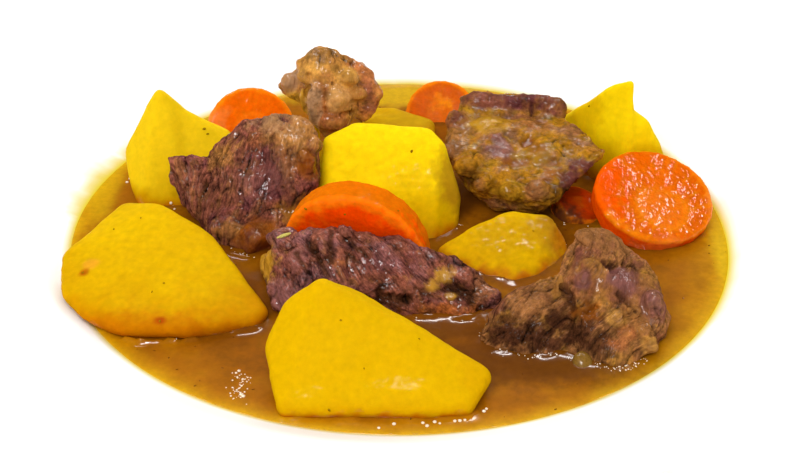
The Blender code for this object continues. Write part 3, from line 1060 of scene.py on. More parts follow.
@dataclass
class Plate:
    """The deep plate, turned finely to the same profile as its solid."""

    radius: float = 120.0
    wall_radius: float = 93.0
    well_rings: int = 26
    rim_rings: int = 16
    rim_end_slope: float = 0.17
    rim_ease: float = 2.2
    wall: float = 4.2
    lip: float = 3.0
    foot_radius: float = 58.0
    foot_width: float = 4.5
    foot_height: float = 3.3
    steps: int = 360

    @staticmethod
    def well_height(radius: Array | float) -> Array | float:
        """Height of the well's surface at a distance from the middle."""
        rise = (POOL_Z - WELL_FLOOR_Z) / (POOL_RADIUS - WELL_FLAT_RADIUS) ** 2
        return WELL_FLOOR_Z + rise * np.maximum(radius - WELL_FLAT_RADIUS, 0.0) ** 2

    def profile(self) -> list[Pair]:
        """Draws the outline, from the middle of the well round the lip to the foot.

        Returns:
            Each corner's radius and height.
        """
        reach = self.wall_radius - WELL_FLAT_RADIUS
        inner = [(0.0, WELL_FLOOR_Z)]
        for i in range(self.well_rings + 1):
            r = WELL_FLAT_RADIUS + reach * i / self.well_rings
            inner.append((r, float(self.well_height(r))))
        height = inner[-1][1]
        steep = 2 * (height - WELL_FLOOR_Z) / reach
        half = self.lip / 2
        width = (self.radius - half - self.wall_radius) / self.rim_rings
        for i in range(1, self.rim_rings + 1):
            eased = min(1.0, i / self.rim_rings * self.rim_ease)
            height += (steep + (self.rim_end_slope - steep) * eased) * width
            inner.append((self.wall_radius + width * i, height))
        lip_r, lip_z = inner[-1]
        lip = [
            (lip_r + half * math.sin(math.radians(a)), lip_z - half + half * math.cos(math.radians(a)))
            for a in range(30, 181, 30)
        ]
        foot_in, foot_out = self.foot_radius, self.foot_radius + self.foot_width
        under = [(r + 0.8, z - self.wall) for r, z in reversed(inner[1:-2]) if r > foot_out]
        foot = [
            (foot_out, self.foot_height + 1.5), (foot_out - 0.3, 0.9), (foot_out - 1.1, 0.0),
            (foot_in + 1.1, 0.0), (foot_in + 0.3, 0.9), (foot_in, self.foot_height), (0.0, self.foot_height),
        ]
        return inner + lip + under + foot

    def build(self, finish: Material) -> Object:
        """Turns and dresses the plate.

        Args:
            finish: The porcelain material.

        Returns:
            The shown object.
        """
        bm = bmesh.new()
        verts = [bm.verts.new((r * MM, 0, z * MM)) for r, z in self.profile()]
        edges = [bm.edges.new(pair) for pair in zip(verts, verts[1:])]
        bmesh.ops.spin(
            bm, geom=verts + edges, cent=(0, 0, 0), axis=UP, angle=2 * math.pi, steps=self.steps,
            use_merge=True, use_duplicate=False,
        )
        bmesh.ops.remove_doubles(bm, verts=bm.verts, dist=MERGE)
        bmesh.ops.recalc_face_normals(bm, faces=bm.faces)
        mesh = mesh_of(bm, "deep_plate")
        note(mesh, "stain", self.stain(points_of(mesh)))
        return show(mesh, "porcelain", finish, "plate")

    def stain(self, points: Array) -> Array:
        """Works out how much gravy clings to each point of the wall.

        Args:
            points: The plate's points.

        Returns:
            One number from 0 to 1 for each point.
        """
        noise = Noise(5)
        away = np.hypot(points[:, 0], points[:, 1])
        angle = np.degrees(np.arctan2(points[:, 1], points[:, 0]))
        reach = 0.9 + 0.5 * noise.fractal(points, 9.0, 3)
        ragged = 1 + 0.6 * noise.fractal(points, 6.0, 3)
        reach += 4.5 * ease(30.0, 8.0, np.abs(angle - 160.0)) * ragged
        reach += 2.5 * ease(40.0, 12.0, np.abs(angle + 12.0))
        inside = points[:, 2] > WELL_FLOOR_Z - 0.5
        return ease(1.0, 0.0, (away - POOL_RADIUS) / np.maximum(reach, 0.3)) * inside


@dataclass
class Gravy:
    """The pool of gravy: a level top that climbs a little where it touches food and plate."""

    patches: list[Patch]
    cells: int = 300
    wall_rings: int = 7
    overlap: float = 0.25
    climb: float = 0.85
    climb_reach: float = 0.85
    ridge_width: float = 0.7
    swell: float = 0.12
    swell_width: float = 11.0
    shimmer: float = 0.012
    shimmer_width: float = 2.0
    still_edge: float = 6.0
    cloud: float = 0.28
    cloud_width: float = 9.0
    shade: float = 0.6
    shade_reach: float = 4.0
    blend: float = 0.35

    def build(self, finish: Material, food: list[Object]) -> Object:
        """Makes and dresses the pool.

        Args:
            finish: The gravy material.
            food: What stands in it.

        Returns:
            The shown object.
        """
        cells = self.cells // 1
        bm = bmesh.new()
        bmesh.ops.create_grid(bm, x_segments=cells, y_segments=cells, size=1.0)
        radius = POOL_RADIUS + self.overlap
        for vert in bm.verts:
            flat = Vector((vert.co.x, vert.co.y))
            if flat.length > 0:
                flat *= max(abs(flat.x), abs(flat.y)) / flat.length * radius
            vert.co = Vector((flat.x, flat.y, POOL_Z)) * MM
        edges = [edge for edge in bm.edges if edge.is_boundary]
        for ring in np.linspace(radius, WELL_FLAT_RADIUS, self.wall_rings + 1)[1:]:
            walled = bmesh.ops.extrude_edge_only(bm, edges=edges)["geom"]
            edges = [item for item in walled if isinstance(item, BMEdge) and item.is_boundary]
            height = float(Plate.well_height(ring)) - self.overlap
            for vert in {vert for edge in edges for vert in edge.verts}:
                scaled = Vector((vert.co.x, vert.co.y)).normalized() * ring
                vert.co = Vector((scaled.x, scaled.y, height)) * MM
        bmesh.ops.contextual_create(bm, geom=edges)
        bmesh.ops.recalc_face_normals(bm, faces=bm.faces)
        mesh = mesh_of(bm, "gravy_pool")
        points = points_of(mesh)
        noise = Noise(77)
        near = self.shape(mesh, points, noise, np.concatenate([points_of(obj.data) for obj in food]))
        self.colour(mesh, points, noise, near)
        return show(mesh, "gravy", finish, "gravy")

    def shape(self, mesh: Mesh, points: Array, noise: Noise, solid: Array) -> Array:
        """Ripples the top, and lifts it where it touches food.

        Args:
            mesh: The pool.
            points: Its points, whose heights are changed.
            noise: Its own noise.
            solid: The points of the food.

        Returns:
            How far each point of the top is from food at its own level.
        """
        top = points[:, 2] > POOL_Z - 0.01
        shore = solid[np.abs(solid[:, 2] - POOL_Z) < 0.5]
        tree = KDTree(len(shore))
        for number, place in enumerate(shore):
            tree.insert(place, number)
        tree.balance()
        near = np.array([tree.find(place)[2] if high else 99.0 for place, high in zip(points, top)])
        uneven = np.clip(0.25 + 0.8 * noise.fractal(points + 11.0, 7.0, 2), 0.0, 0.6)
        for x, y, strength in MENISCI:
            uneven += strength * ease(7.0, 2.0, np.hypot(points[:, 0] - x, points[:, 1] - y))
        inner = ease(POOL_RADIUS, POOL_RADIUS - self.still_edge, np.hypot(points[:, 0], points[:, 1]))
        ripple = self.swell * noise.fractal(points, self.swell_width, 3) * inner
        ripple += self.shimmer * noise(points, self.shimmer_width) * inner
        for start, end, height in RIDGES:
            off = np.linalg.norm(from_line(points[:, :2], start, end), axis=1)
            ripple += height * np.exp(-(off / self.ridge_width) ** 2)
        points[:, 2] += top * (self.climb * uneven * np.exp(-near / self.climb_reach) + ripple)
        move_points(mesh, points)
        return near

    def colour(self, mesh: Mesh, points: Array, noise: Noise, near: Array) -> None:
        """Colours the pool by its depth, its clouds and the shade of the food.

        Args:
            mesh: The pool.
            points: Its points.
            noise: Its own noise.
            near: How far each point is from food.
        """
        away = np.hypot(points[:, 0], points[:, 1])
        angle = np.degrees(np.arctan2(points[:, 1], points[:, 0]))
        depth = (POOL_Z - Plate.well_height(away)) / (POOL_Z - WELL_FLOOR_Z)
        depth = depth + 0.05 * noise.fractal(points, 9.0, 4)
        depth = depth / (1.0 + 0.9 * ease(45.0, 15.0, np.abs(angle + 8.0)))
        stops = [(0.0, Tint.RING), (0.1, Tint.EDGE), (0.24, Tint.SHALLOW), (1.0, Tint.DEEP)]
        paint = Paint(points, noise, ramp(depth, stops), self.blend)
        clouds = noise.fractal(points + 51.0, self.cloud_width, 4)
        inner = self.cloud * ease(POOL_RADIUS, POOL_RADIUS - self.still_edge, away)
        # Lighter and darker swirls, the gravy's own tone.
        paint.lay(ease(0.0, 0.7, clouds) * inner, Tint.EDGE)
        paint.lay(ease(0.0, -0.7, clouds) * inner, Tint.SHADED)
        # Painted shade: the gravy darkens near food.
        shade = self.shade * np.exp(-near / self.shade_reach)
        paint.lay(shade * ease(POOL_RADIUS, POOL_RADIUS - 22.0, away), Tint.SHADED)
        for patch in self.patches:
            paint.patch(patch)
        note(mesh, "tint", paint.colour)


class Bit(Enum):
    """Kinds of small thing that lie on the food or float, with the name of the piece they make."""

    PEPPER = "cracked_pepper"
    BUBBLE = "stock_bubbles"
    NEEDLE = "herb_needle"
    CRUMB = "spice_crumbs"
    ONION = "onion_bit"


class Garnish:
    """The small things, each kind gathered into one piece and laid on whatever is under it."""

    SHAKEN = 0.16
    FINE = 1.0
    ABOVE_FOOD = 90.0
    FLAKE_THICKNESS = 0.22
    BUBBLE_HEIGHT = 0.8
    BUBBLE_RADII = (0.09, 0.25)
    CRUMB_COUNT = 260
    CRUMB_SIZES = (0.15, 0.45)

    def __init__(self, under: list[Object]) -> None:
        """Gets the surfaces ready that small things may lie on.

        Args:
            under: The food and the gravy, which comes last.
        """
        graph = bpy.context.evaluated_depsgraph_get()
        self.trees = [BVHTree.FromObject(obj, graph) for obj in under]
        self.draw = np.random.default_rng(9)
        self.meshes = {kind: bmesh.new() for kind in Bit}

    def touch(self, place: Point) -> tuple[Vector, Vector]:
        """The nearest point of any surface, in metres, and the way that it faces."""
        hits = (tree.find_nearest(Vector(place) * MM) for tree in self.trees)
        return min(hits, key=lambda hit: hit[3])[:2]

    def open_gravy(self, x: float, y: float) -> Vector | None:
        """Looks for the gravy's surface under a point.

        Args:
            x: The point's first coordinate.
            y: Its second.

        Returns:
            The place on the surface, or nothing where food covers it.
        """
        start = Vector((x, y, self.ABOVE_FOOD)) * MM
        hits = [tree.ray_cast(start, -UP) for tree in self.trees]
        heights = [hit[0].z if hit[0] else -1.0 for hit in hits]
        return hits[-1][0] if heights[-1] >= max(heights) else None

    def lay(
        self, kind: Bit, spot: Vector, facing: Vector, half: Point, turn: float = 0.0, rough: float = 0.0,
    ) -> None:
        """Adds one small body.

        Args:
            kind: Which piece it joins.
            spot: Its middle, in metres.
            facing: The way its thin side faces.
            half: Its half sizes, in millimetres.
            turn: How it is turned round that way, in degrees.
            rough: How far its points are shaken, as a share of its size.
        """
        bm = self.meshes[kind]
        made = bmesh.ops.create_icosphere(bm, subdivisions=1 if max(half) < self.FINE else 3, radius=1.0)
        for vert in made["verts"]:
            vert.co += Vector(self.draw.normal(size=3)) * rough
        place = Matrix.LocRotScale(spot, facing.to_track_quat("Z", "Y"), None)
        place = place @ Matrix.Rotation(math.radians(turn), 4, "Z")
        place = place @ Matrix.Diagonal((*(Vector(half) * MM), 1.0))
        bmesh.ops.transform(bm, matrix=place, verts=made["verts"])

    def fleck(self, place: Point, size: float) -> None:
        """Lays one thin flake of pepper against the surface nearest a place.

        Args:
            place: The place.
            size: Half the flake's length.
        """
        spot, facing = self.touch(place)
        half = (size, size * self.draw.uniform(0.5, 0.8), self.FLAKE_THICKNESS * size)
        self.lay(Bit.PEPPER, spot + facing * 0.1 * MM, facing, half, self.draw.uniform(0, 360), self.SHAKEN)

    def bubble(self, spot: Vector, facing: Vector, radius: float) -> None:
        """Lays one bubble, a little flattened."""
        self.lay(Bit.BUBBLE, spot, facing, (radius, radius, self.BUBBLE_HEIGHT * radius))

    def foam(self, middle: Pair, spread: Pair, count: int, reach: float) -> None:
        """Floats bubbles on open gravy round a place.

        Args:
            middle: The place.
            spread: How widely they are scattered along each axis.
            count: How many are tried.
            reach: How far from food they may be.
        """
        for _ in range(count):
            x, y = self.draw.normal(middle, spread)
            radius = float(self.draw.uniform(*self.BUBBLE_RADII))
            spot = self.open_gravy(x, y)
            if spot is not None and min(tree.find_nearest(spot)[3] for tree in self.trees[:-1]) / MM < reach:
                self.bubble(spot, UP, radius)

    def crumbs(self) -> None:
        """Floats crumbs of spice all over the open gravy."""
        for _ in range(self.CRUMB_COUNT):
            x, y = self.draw.uniform(-POOL_RADIUS, POOL_RADIUS, 2)
            size = float(self.draw.uniform(*self.CRUMB_SIZES))
            spot = self.open_gravy(x, y)
            if spot is not None:
                half = (size, size * 0.6, 0.3 * size)
                self.lay(Bit.CRUMB, spot, UP, half, self.draw.uniform(0, 360), self.SHAKEN)

    def build(self) -> None:
        """Scatters everything and shows each kind as one piece."""
        for x, y, z, size in FLAKES:
            self.fleck((x, y, z), size)
        for cluster in BUBBLES:
            self.foam(*cluster)
        for x, y, z, radius in BEADS:
            self.bubble(*self.touch((x, y, z)), radius)
        self.crumbs()
        for kind, near, lift, facing, half, turn, rough in SINGLES:
            spot, out = self.touch(near)
            self.lay(kind, spot + out * lift * MM, Vector(facing), half, turn, rough)
        for kind, bm in self.meshes.items():
            bmesh.ops.recalc_face_normals(bm, faces=bm.faces)
            show(mesh_of(bm, kind.value), "gravy", BIT_FINISHES[kind].build(kind.value))


@dataclass(frozen=True)
class Lamp:
    """A flat light that faces the plate: one that lights it, or a glint seen only in wet surfaces."""

    name: str
    at: Point
    size: Pair
    power: float
    glint: bool = False

    def hang(self, target: Point) -> None:
        """Hangs the light.

        Args:
            target: What it faces.
        """
        lamp = bpy.data.lights.new(self.name, "AREA")
        lamp.shape = "RECTANGLE"
        lamp.size, lamp.size_y = (side * MM for side in self.size)
        lamp.energy = self.power
        obj = put(self.name, lamp)
        obj.location = Vector(self.at) * MM
        obj.rotation_euler = (Vector(target) - Vector(self.at)).to_track_quat("-Z", "Y").to_euler()
        obj.visible_glossy = self.glint
        obj.visible_diffuse = not self.glint


@dataclass
class Studio:
    """The floor, the lights and the camera."""

    lens: float = 70.0
    sensor: float = 36.0
    distance: float = 405.0
    elevation: float = 31.94
    target: Point = (0.2, -3.9, 19.0)
    sky: float = 0.81
    half_floor: float = 3.0

    def floor(self) -> None:
        """Lays a plain pale floor, matt paper that glows a little so that no shadow line shows."""
        bm = bmesh.new()
        bmesh.ops.create_grid(bm, x_segments=1, y_segments=1, size=self.half_floor)
        mesh = mesh_of(bm, "floor")
        paper = Surface(
            "pale_floor", Base_Color=WHITE, Roughness=0.9, Emission_Color=WHITE, Emission_Strength=0.2,
        )
        mesh.materials.append(paper.made)
        put("floor", mesh)

    def build(self) -> None:
        """Sets up the whole studio."""
        scene = bpy.context.scene
        self.floor()
        scene.world = bpy.data.worlds.new("soft_white")
        scene.world.use_nodes = True
        sky = scene.world.node_tree.nodes["Background"]
        sky.inputs["Strength"].default_value = self.sky
        sky.inputs["Color"].default_value = WHITE
        scene.world.cycles_visibility.glossy = False
        for lamp in LAMPS:
            lamp.hang(self.target)
        camera = bpy.data.cameras.new("camera")
        camera.lens = self.lens
        camera.sensor_width = self.sensor
        scene.camera = put("camera", camera)
        tilt = math.radians(self.elevation)
        back = Vector((0.0, -math.cos(tilt), math.sin(tilt)))
        scene.camera.location = (Vector(self.target) + back * self.distance) * MM
        scene.camera.rotation_euler = (math.radians(90 - self.elevation), 0.0, 0.0)
        scene.view_settings.view_transform = "Standard"


LAMPS = [
    Lamp("key", (-140, -380, 500), (380, 380), 2.3),
    Lamp("fill", (40, 560, 280), (380, 380), 2.1),
    Lamp("glint_back", (-60, 330, 560), (420, 36), 2.2, True),
    Lamp("glint_right", (260, 209, 538), (80, 80), 0.62, True),
    Lamp("glint_front", (-60, -300, 500), (110, 110), 2.2, True),
]

BIT_FINISHES = {
    # Cracked pepper soaked in stock: matt, and little darker than the potato it lies on.
    Bit.PEPPER: BitFinish("a87c0c", roughness=0.6, speckle=0.5, coat=0.0),
    # Foam of stock: wet beads, whose pale colour is a painted highlight that shows them as bright dots.
    Bit.BUBBLE: BitFinish("f2e2c8", roughness=0.05),
    # A herb needle stewed soft: pale straw green.
    Bit.NEEDLE: BitFinish("c4b45c", roughness=0.4, speckle=0.3),
    # Ground spice: brown grains that just break the gravy's shine.
    Bit.CRUMB: BitFinish("7a4406", roughness=0.5, speckle=0.6),
    # Onion stewed glassy: some light comes through.
    Bit.ONION: BitFinish("906826", roughness=0.3, speckle=0.3, transmission=0.2),
}

# Kind, place, lift off the surface there, way that it faces, half sizes, turn and roughness.
SINGLES = [
    (Bit.NEEDLE, (-28, -27.2, 33.6), 0.4, (0, -0.5, 0.86), (1.9, 0.45, 0.35), 22, 0),
    (Bit.ONION, (42.4, -59, 19.4), -0.5, (0.1, -0.6, 0.8), (2.4, 3, 1.6), 10, 0.03),
]

# Each flake of pepper: where it lies and half its length.
FLAKES = [
    (-56.2, -38.1, 27, 0.4), (-58.8, -40.5, 26.3, 0.35), (-76.3, -33.6, 27.1, 0.4),
    (-56, -49.1, 23.9, 0.35), (-12.9, -65.1, 35.3, 0.35), (-15.3, -79.3, 21.3, 0.4), (-52.4, 22, 36.9, 0.5),
    (-51.4, 21.3, 35.7, 0.4), (3.3, 8, 37.8, 0.45), (52.3, 35.6, 36.8, 0.4), (-22.9, -20.5, 37.3, 0.5),
    (-13.2, -23, 37.3, 0.4), (-0.3, -23.7, 38.6, 0.4), (-70.5, -20.2, 31, 0.3), (-64, -18, 33, 0.3),
    (4, -66, 30, 0.3), (-8, -72, 27, 0.25), (34, -11, 25, 0.35),
]

# Each cluster of foam: its middle, its spread, how many bubbles are tried and how far from food they may be.
BUBBLES = [
    ((-36, -67), (1.1, 2.8), 60, 99), ((2, -84), (12, 1), 40, 1.8), ((20, -76), (5, 4), 60, 1.5),
    ((33, -59), (8, 2.4), 170, 1.8), ((52, -61), (6, 2.4), 190, 1.8), ((12, -46), (9, 2.4), 90, 1.6),
    ((-58, -54), (10, 2), 70, 1.2), ((15, 20), (2.5, 6), 70, 1.6), ((18, 0), (4, 4), 60, 1.4),
    ((-39, -14.5), (4, 2), 110, 1.8), ((44, -2), (4, 3), 30, 1.4), ((-62, 5), (3, 4), 20, 1.4),
]

# Each larger bubble: where it floats and its radius.
BEADS = [
    (-1.1, -81.2, 19, 0.5), (-4.4, -82.6, 19, 0.4), (5.2, -80.9, 19, 0.45), (6.1, -81.9, 19, 0.5),
    (7.8, -80.5, 19, 0.5), (8.9, -81, 19, 0.35), (12.2, -80.3, 19, 0.45), (13.3, -80.2, 19, 0.5),
    (14.4, -80, 19, 0.4), (18.7, -76.9, 19, 0.5), (19.3, -76, 19, 0.4), (-75.1, 24.5, 19, 0.5),
    (-74.6, 26.4, 19, 0.45), (-61.3, 11.8, 19.8, 0.45), (-60.2, 9.8, 19.2, 0.35), (-76.2, -8, 19, 0.5),
    (-36.6, -62, 19, 0.45), (-37.2, -62.8, 19, 0.35), (-35.4, -70.9, 19, 0.45), (-34.8, -71.5, 19, 0.5),
]

# Painted light and shade: chunks in front carry a deeper flesh and those at the back a paler one, and each
# pales toward its top.
FRONT_FLESH = (Tint.FLESH_DEEP, Tint.FLESH)
BACK_FLESH = (Tint.FLESH, Tint.FLESH_LIT)

# Every chunk of potato, with where stock and meat have stained it and where shade and light are painted on
# it.
POTATOES = [
    Potato("potato_front", 11, 1.5, 18, FRONT_FLESH, patches=[
        # Painted shade on the low right face.
        Patch(Tint.FLESH_SHADED, (17, -66, 24), (6, 14, 10), 0.7),
        Patch(Tint.FLESH, (0, -75.2, 25.6), (10, 2.4, 2.2), 0.2, wet=0.22),
        Patch(Tint.FLESH, (-20, -76.5, 24.3), (5, 2.4, 2.2), 0.2, wet=0.22),
    ]),
    Potato("potato_left", 12, 6.5, 9, FRONT_FLESH, patches=[
        # Painted light on the top.
        Patch(Tint.FLESH_LIT, (-70, -18, 33), (18, 12, 8), 0.15),
        # Stock soak and painted shade along the low front.
        Patch(Tint.SOAKED_AND_SHADED, (-60, -49, 21.5), (26, 6, 5), 0.7),
        # Painted shade at the left end.
        Patch(Tint.FLESH_SHADED, (-80, -33, 24), (5, 10, 8), 0.6),
        Patch(Tint.CARROT_PALE, (-75, -31.2, 27.9), (2.8, 2.2, 1.8), 0.3, 0.2),
        Patch(Tint.RUSSET, (-76.1, -33.6, 27.2), (1.7, 1.5, 1.3), 0.75),
        Patch(Tint.RUSSET, (-56, -48.8, 24), (1.9, 1.5, 1.3), 0.75),
        Patch(Tint.RUSSET, (-72, -42, 22.5), (1.6, 1.4, 1), 0.5),
    ], mottled=0.08),
    # Painted light: a paler flesh for the steep lit face; painted shade low down.
    Potato("potato_back_left", 13, 2, 6, (Tint.FLESH_LIT_SIDE, Tint.FLESH_LIT_SIDE), patches=[
        Patch(Tint.FLESH_SHADED, (-57, 16, 24), (9, 9, 7), 0.4),
    ]),
    Potato("potato_centre", 14, 2, 5, BACK_FLESH, patches=[
        # Painted light on the top face.
        Patch(Tint.FLESH_LIT, (-6, 8, 37), (17, 9, 9), 0.9),
        # Stock film with painted shadow of the beef on the right side.
        Patch(Tint.SAUCE_AND_SHADE, (15.5, 5, 31), (8, 8, 13), 0.75),
        Patch(Tint.FLESH, (3, 4, 32), (9, 4, 5), 0.3, wet=0.4),
    ], mottled=0.08),
    Potato("potato_right", 15, 2, 12, FRONT_FLESH, patches=[
        Patch(Tint.SAUCE_AND_SHADE, (41, -10, 25), (11, 8, 8.5), 0.9, wet=0.55),
        # Stock soak and painted shade at the foot.
        Patch(Tint.SOAKED_AND_SHADED, (42, -10, 22), (5, 6, 4), 0.6, wet=0.6),
        # Painted shade low on the left side.
        Patch(Tint.FLESH_SHADED, (28, -12, 24), (12, 8, 6), 0.8, wet=0.7),
    ], mottled=0.12),
    Potato("potato_back_right", 16, 2.5, 5, BACK_FLESH, patches=[
        # Painted shade on the left side.
        Patch(Tint.FLESH_SHADED, (50, 35, 36), (8, 8, 10), 0.5),
    ]),
    Potato("potato_back", 17, 3, 12, BACK_FLESH, patches=[
        Patch(Tint.SAUCE_AND_SHADE, (5, 54, 24), (12, 10, 6), 0.45),
    ]),
    Potato("potato_under", 18, 3),
]

# Every slice of carrot, with where it is paler, redder or sunk in stock, and where glint and shade are
# painted on it.
CARROTS = [
    Carrot(
        "carrot_right", 31, (66.7, 2.3, 28), 16.9, -56, 67, (68.4, -1.5, 26.2), Tint.CARROT_DIM,
        Tint.CARROT_RED, rays=0.35, gloss=1, patches=[
            Patch(Tint.CARROT, (66, 10, 31), (14, 9, 8), 0.5, wet=0.4),
            Patch(Tint.CARROT_RED, (52, 3, 30), (8, 15, 13), 0.8, calm=0.95),
            # Painted glint: a pale pink band along the bottom edge.
            Patch(Tint.CARROT_PALE, (66.9, -10.8, 20.5), (12, 2.5, 3), 0.3, wet=0.3),
            Patch(Tint.CARROT_PALE, (82.5, 4.3, 25.2), (2.5, 9, 3), 0.4),
        ],
    ),
    Carrot(
        "carrot_centre", 32, (-11.3, -20.9, 23.2), 18.8, -104, -10, (-11.3, -20.9, 16), Tint.CARROT_GLOW,
        Tint.CARROT_RIM, patches=[Patch(Tint.CARROT_GLOW, (-12, -24, 29), (20, 6, 11), 0.85, calm=0.5)],
    ),
    Carrot(
        "carrot_back_left", 33, (-41.6, 44.2, 24.5), 13, -70, 38, (-41.6, 44.2, 24.5),
        patches=[Patch(Tint.CARROT_PALE, (-52, 44, 28), (5, 6, 5), 0.6)],
    ),
    Carrot(
        "carrot_back", 34, (12.3, 61, 21.2), 10.6, -90, 42, (12.3, 61, 21.2), Tint.CARROT_DIM,
        gloss=0.06, patches=[Patch(Tint.CARROT_LIGHT, (12.6, 61, 25), (4, 5, 3.4), 0.9)],
    ),
    # Painted shade: a slice in the shadow of the beef, coloured dark red and darkest on its left.
    Carrot(
        "carrot_under", 35, (48.5, 9, 21.5), 7.4, -30, 70, (48.5, 9, 21.5), Tint.RUSSET, rays=0, patches=[
            Patch(Tint.RUSSET, (45, 8.5, 21.5), (5.5, 7, 6), 0.9, calm=0.8),
            Patch(Tint.CARROT_DEEP, (51, 9, 21), (3.5, 7, 6), 0.6),
            Patch(Tint.DARK, (43, 3.8, 20.8), (6, 5.5, 4), 0.9),
        ],
    ),
]

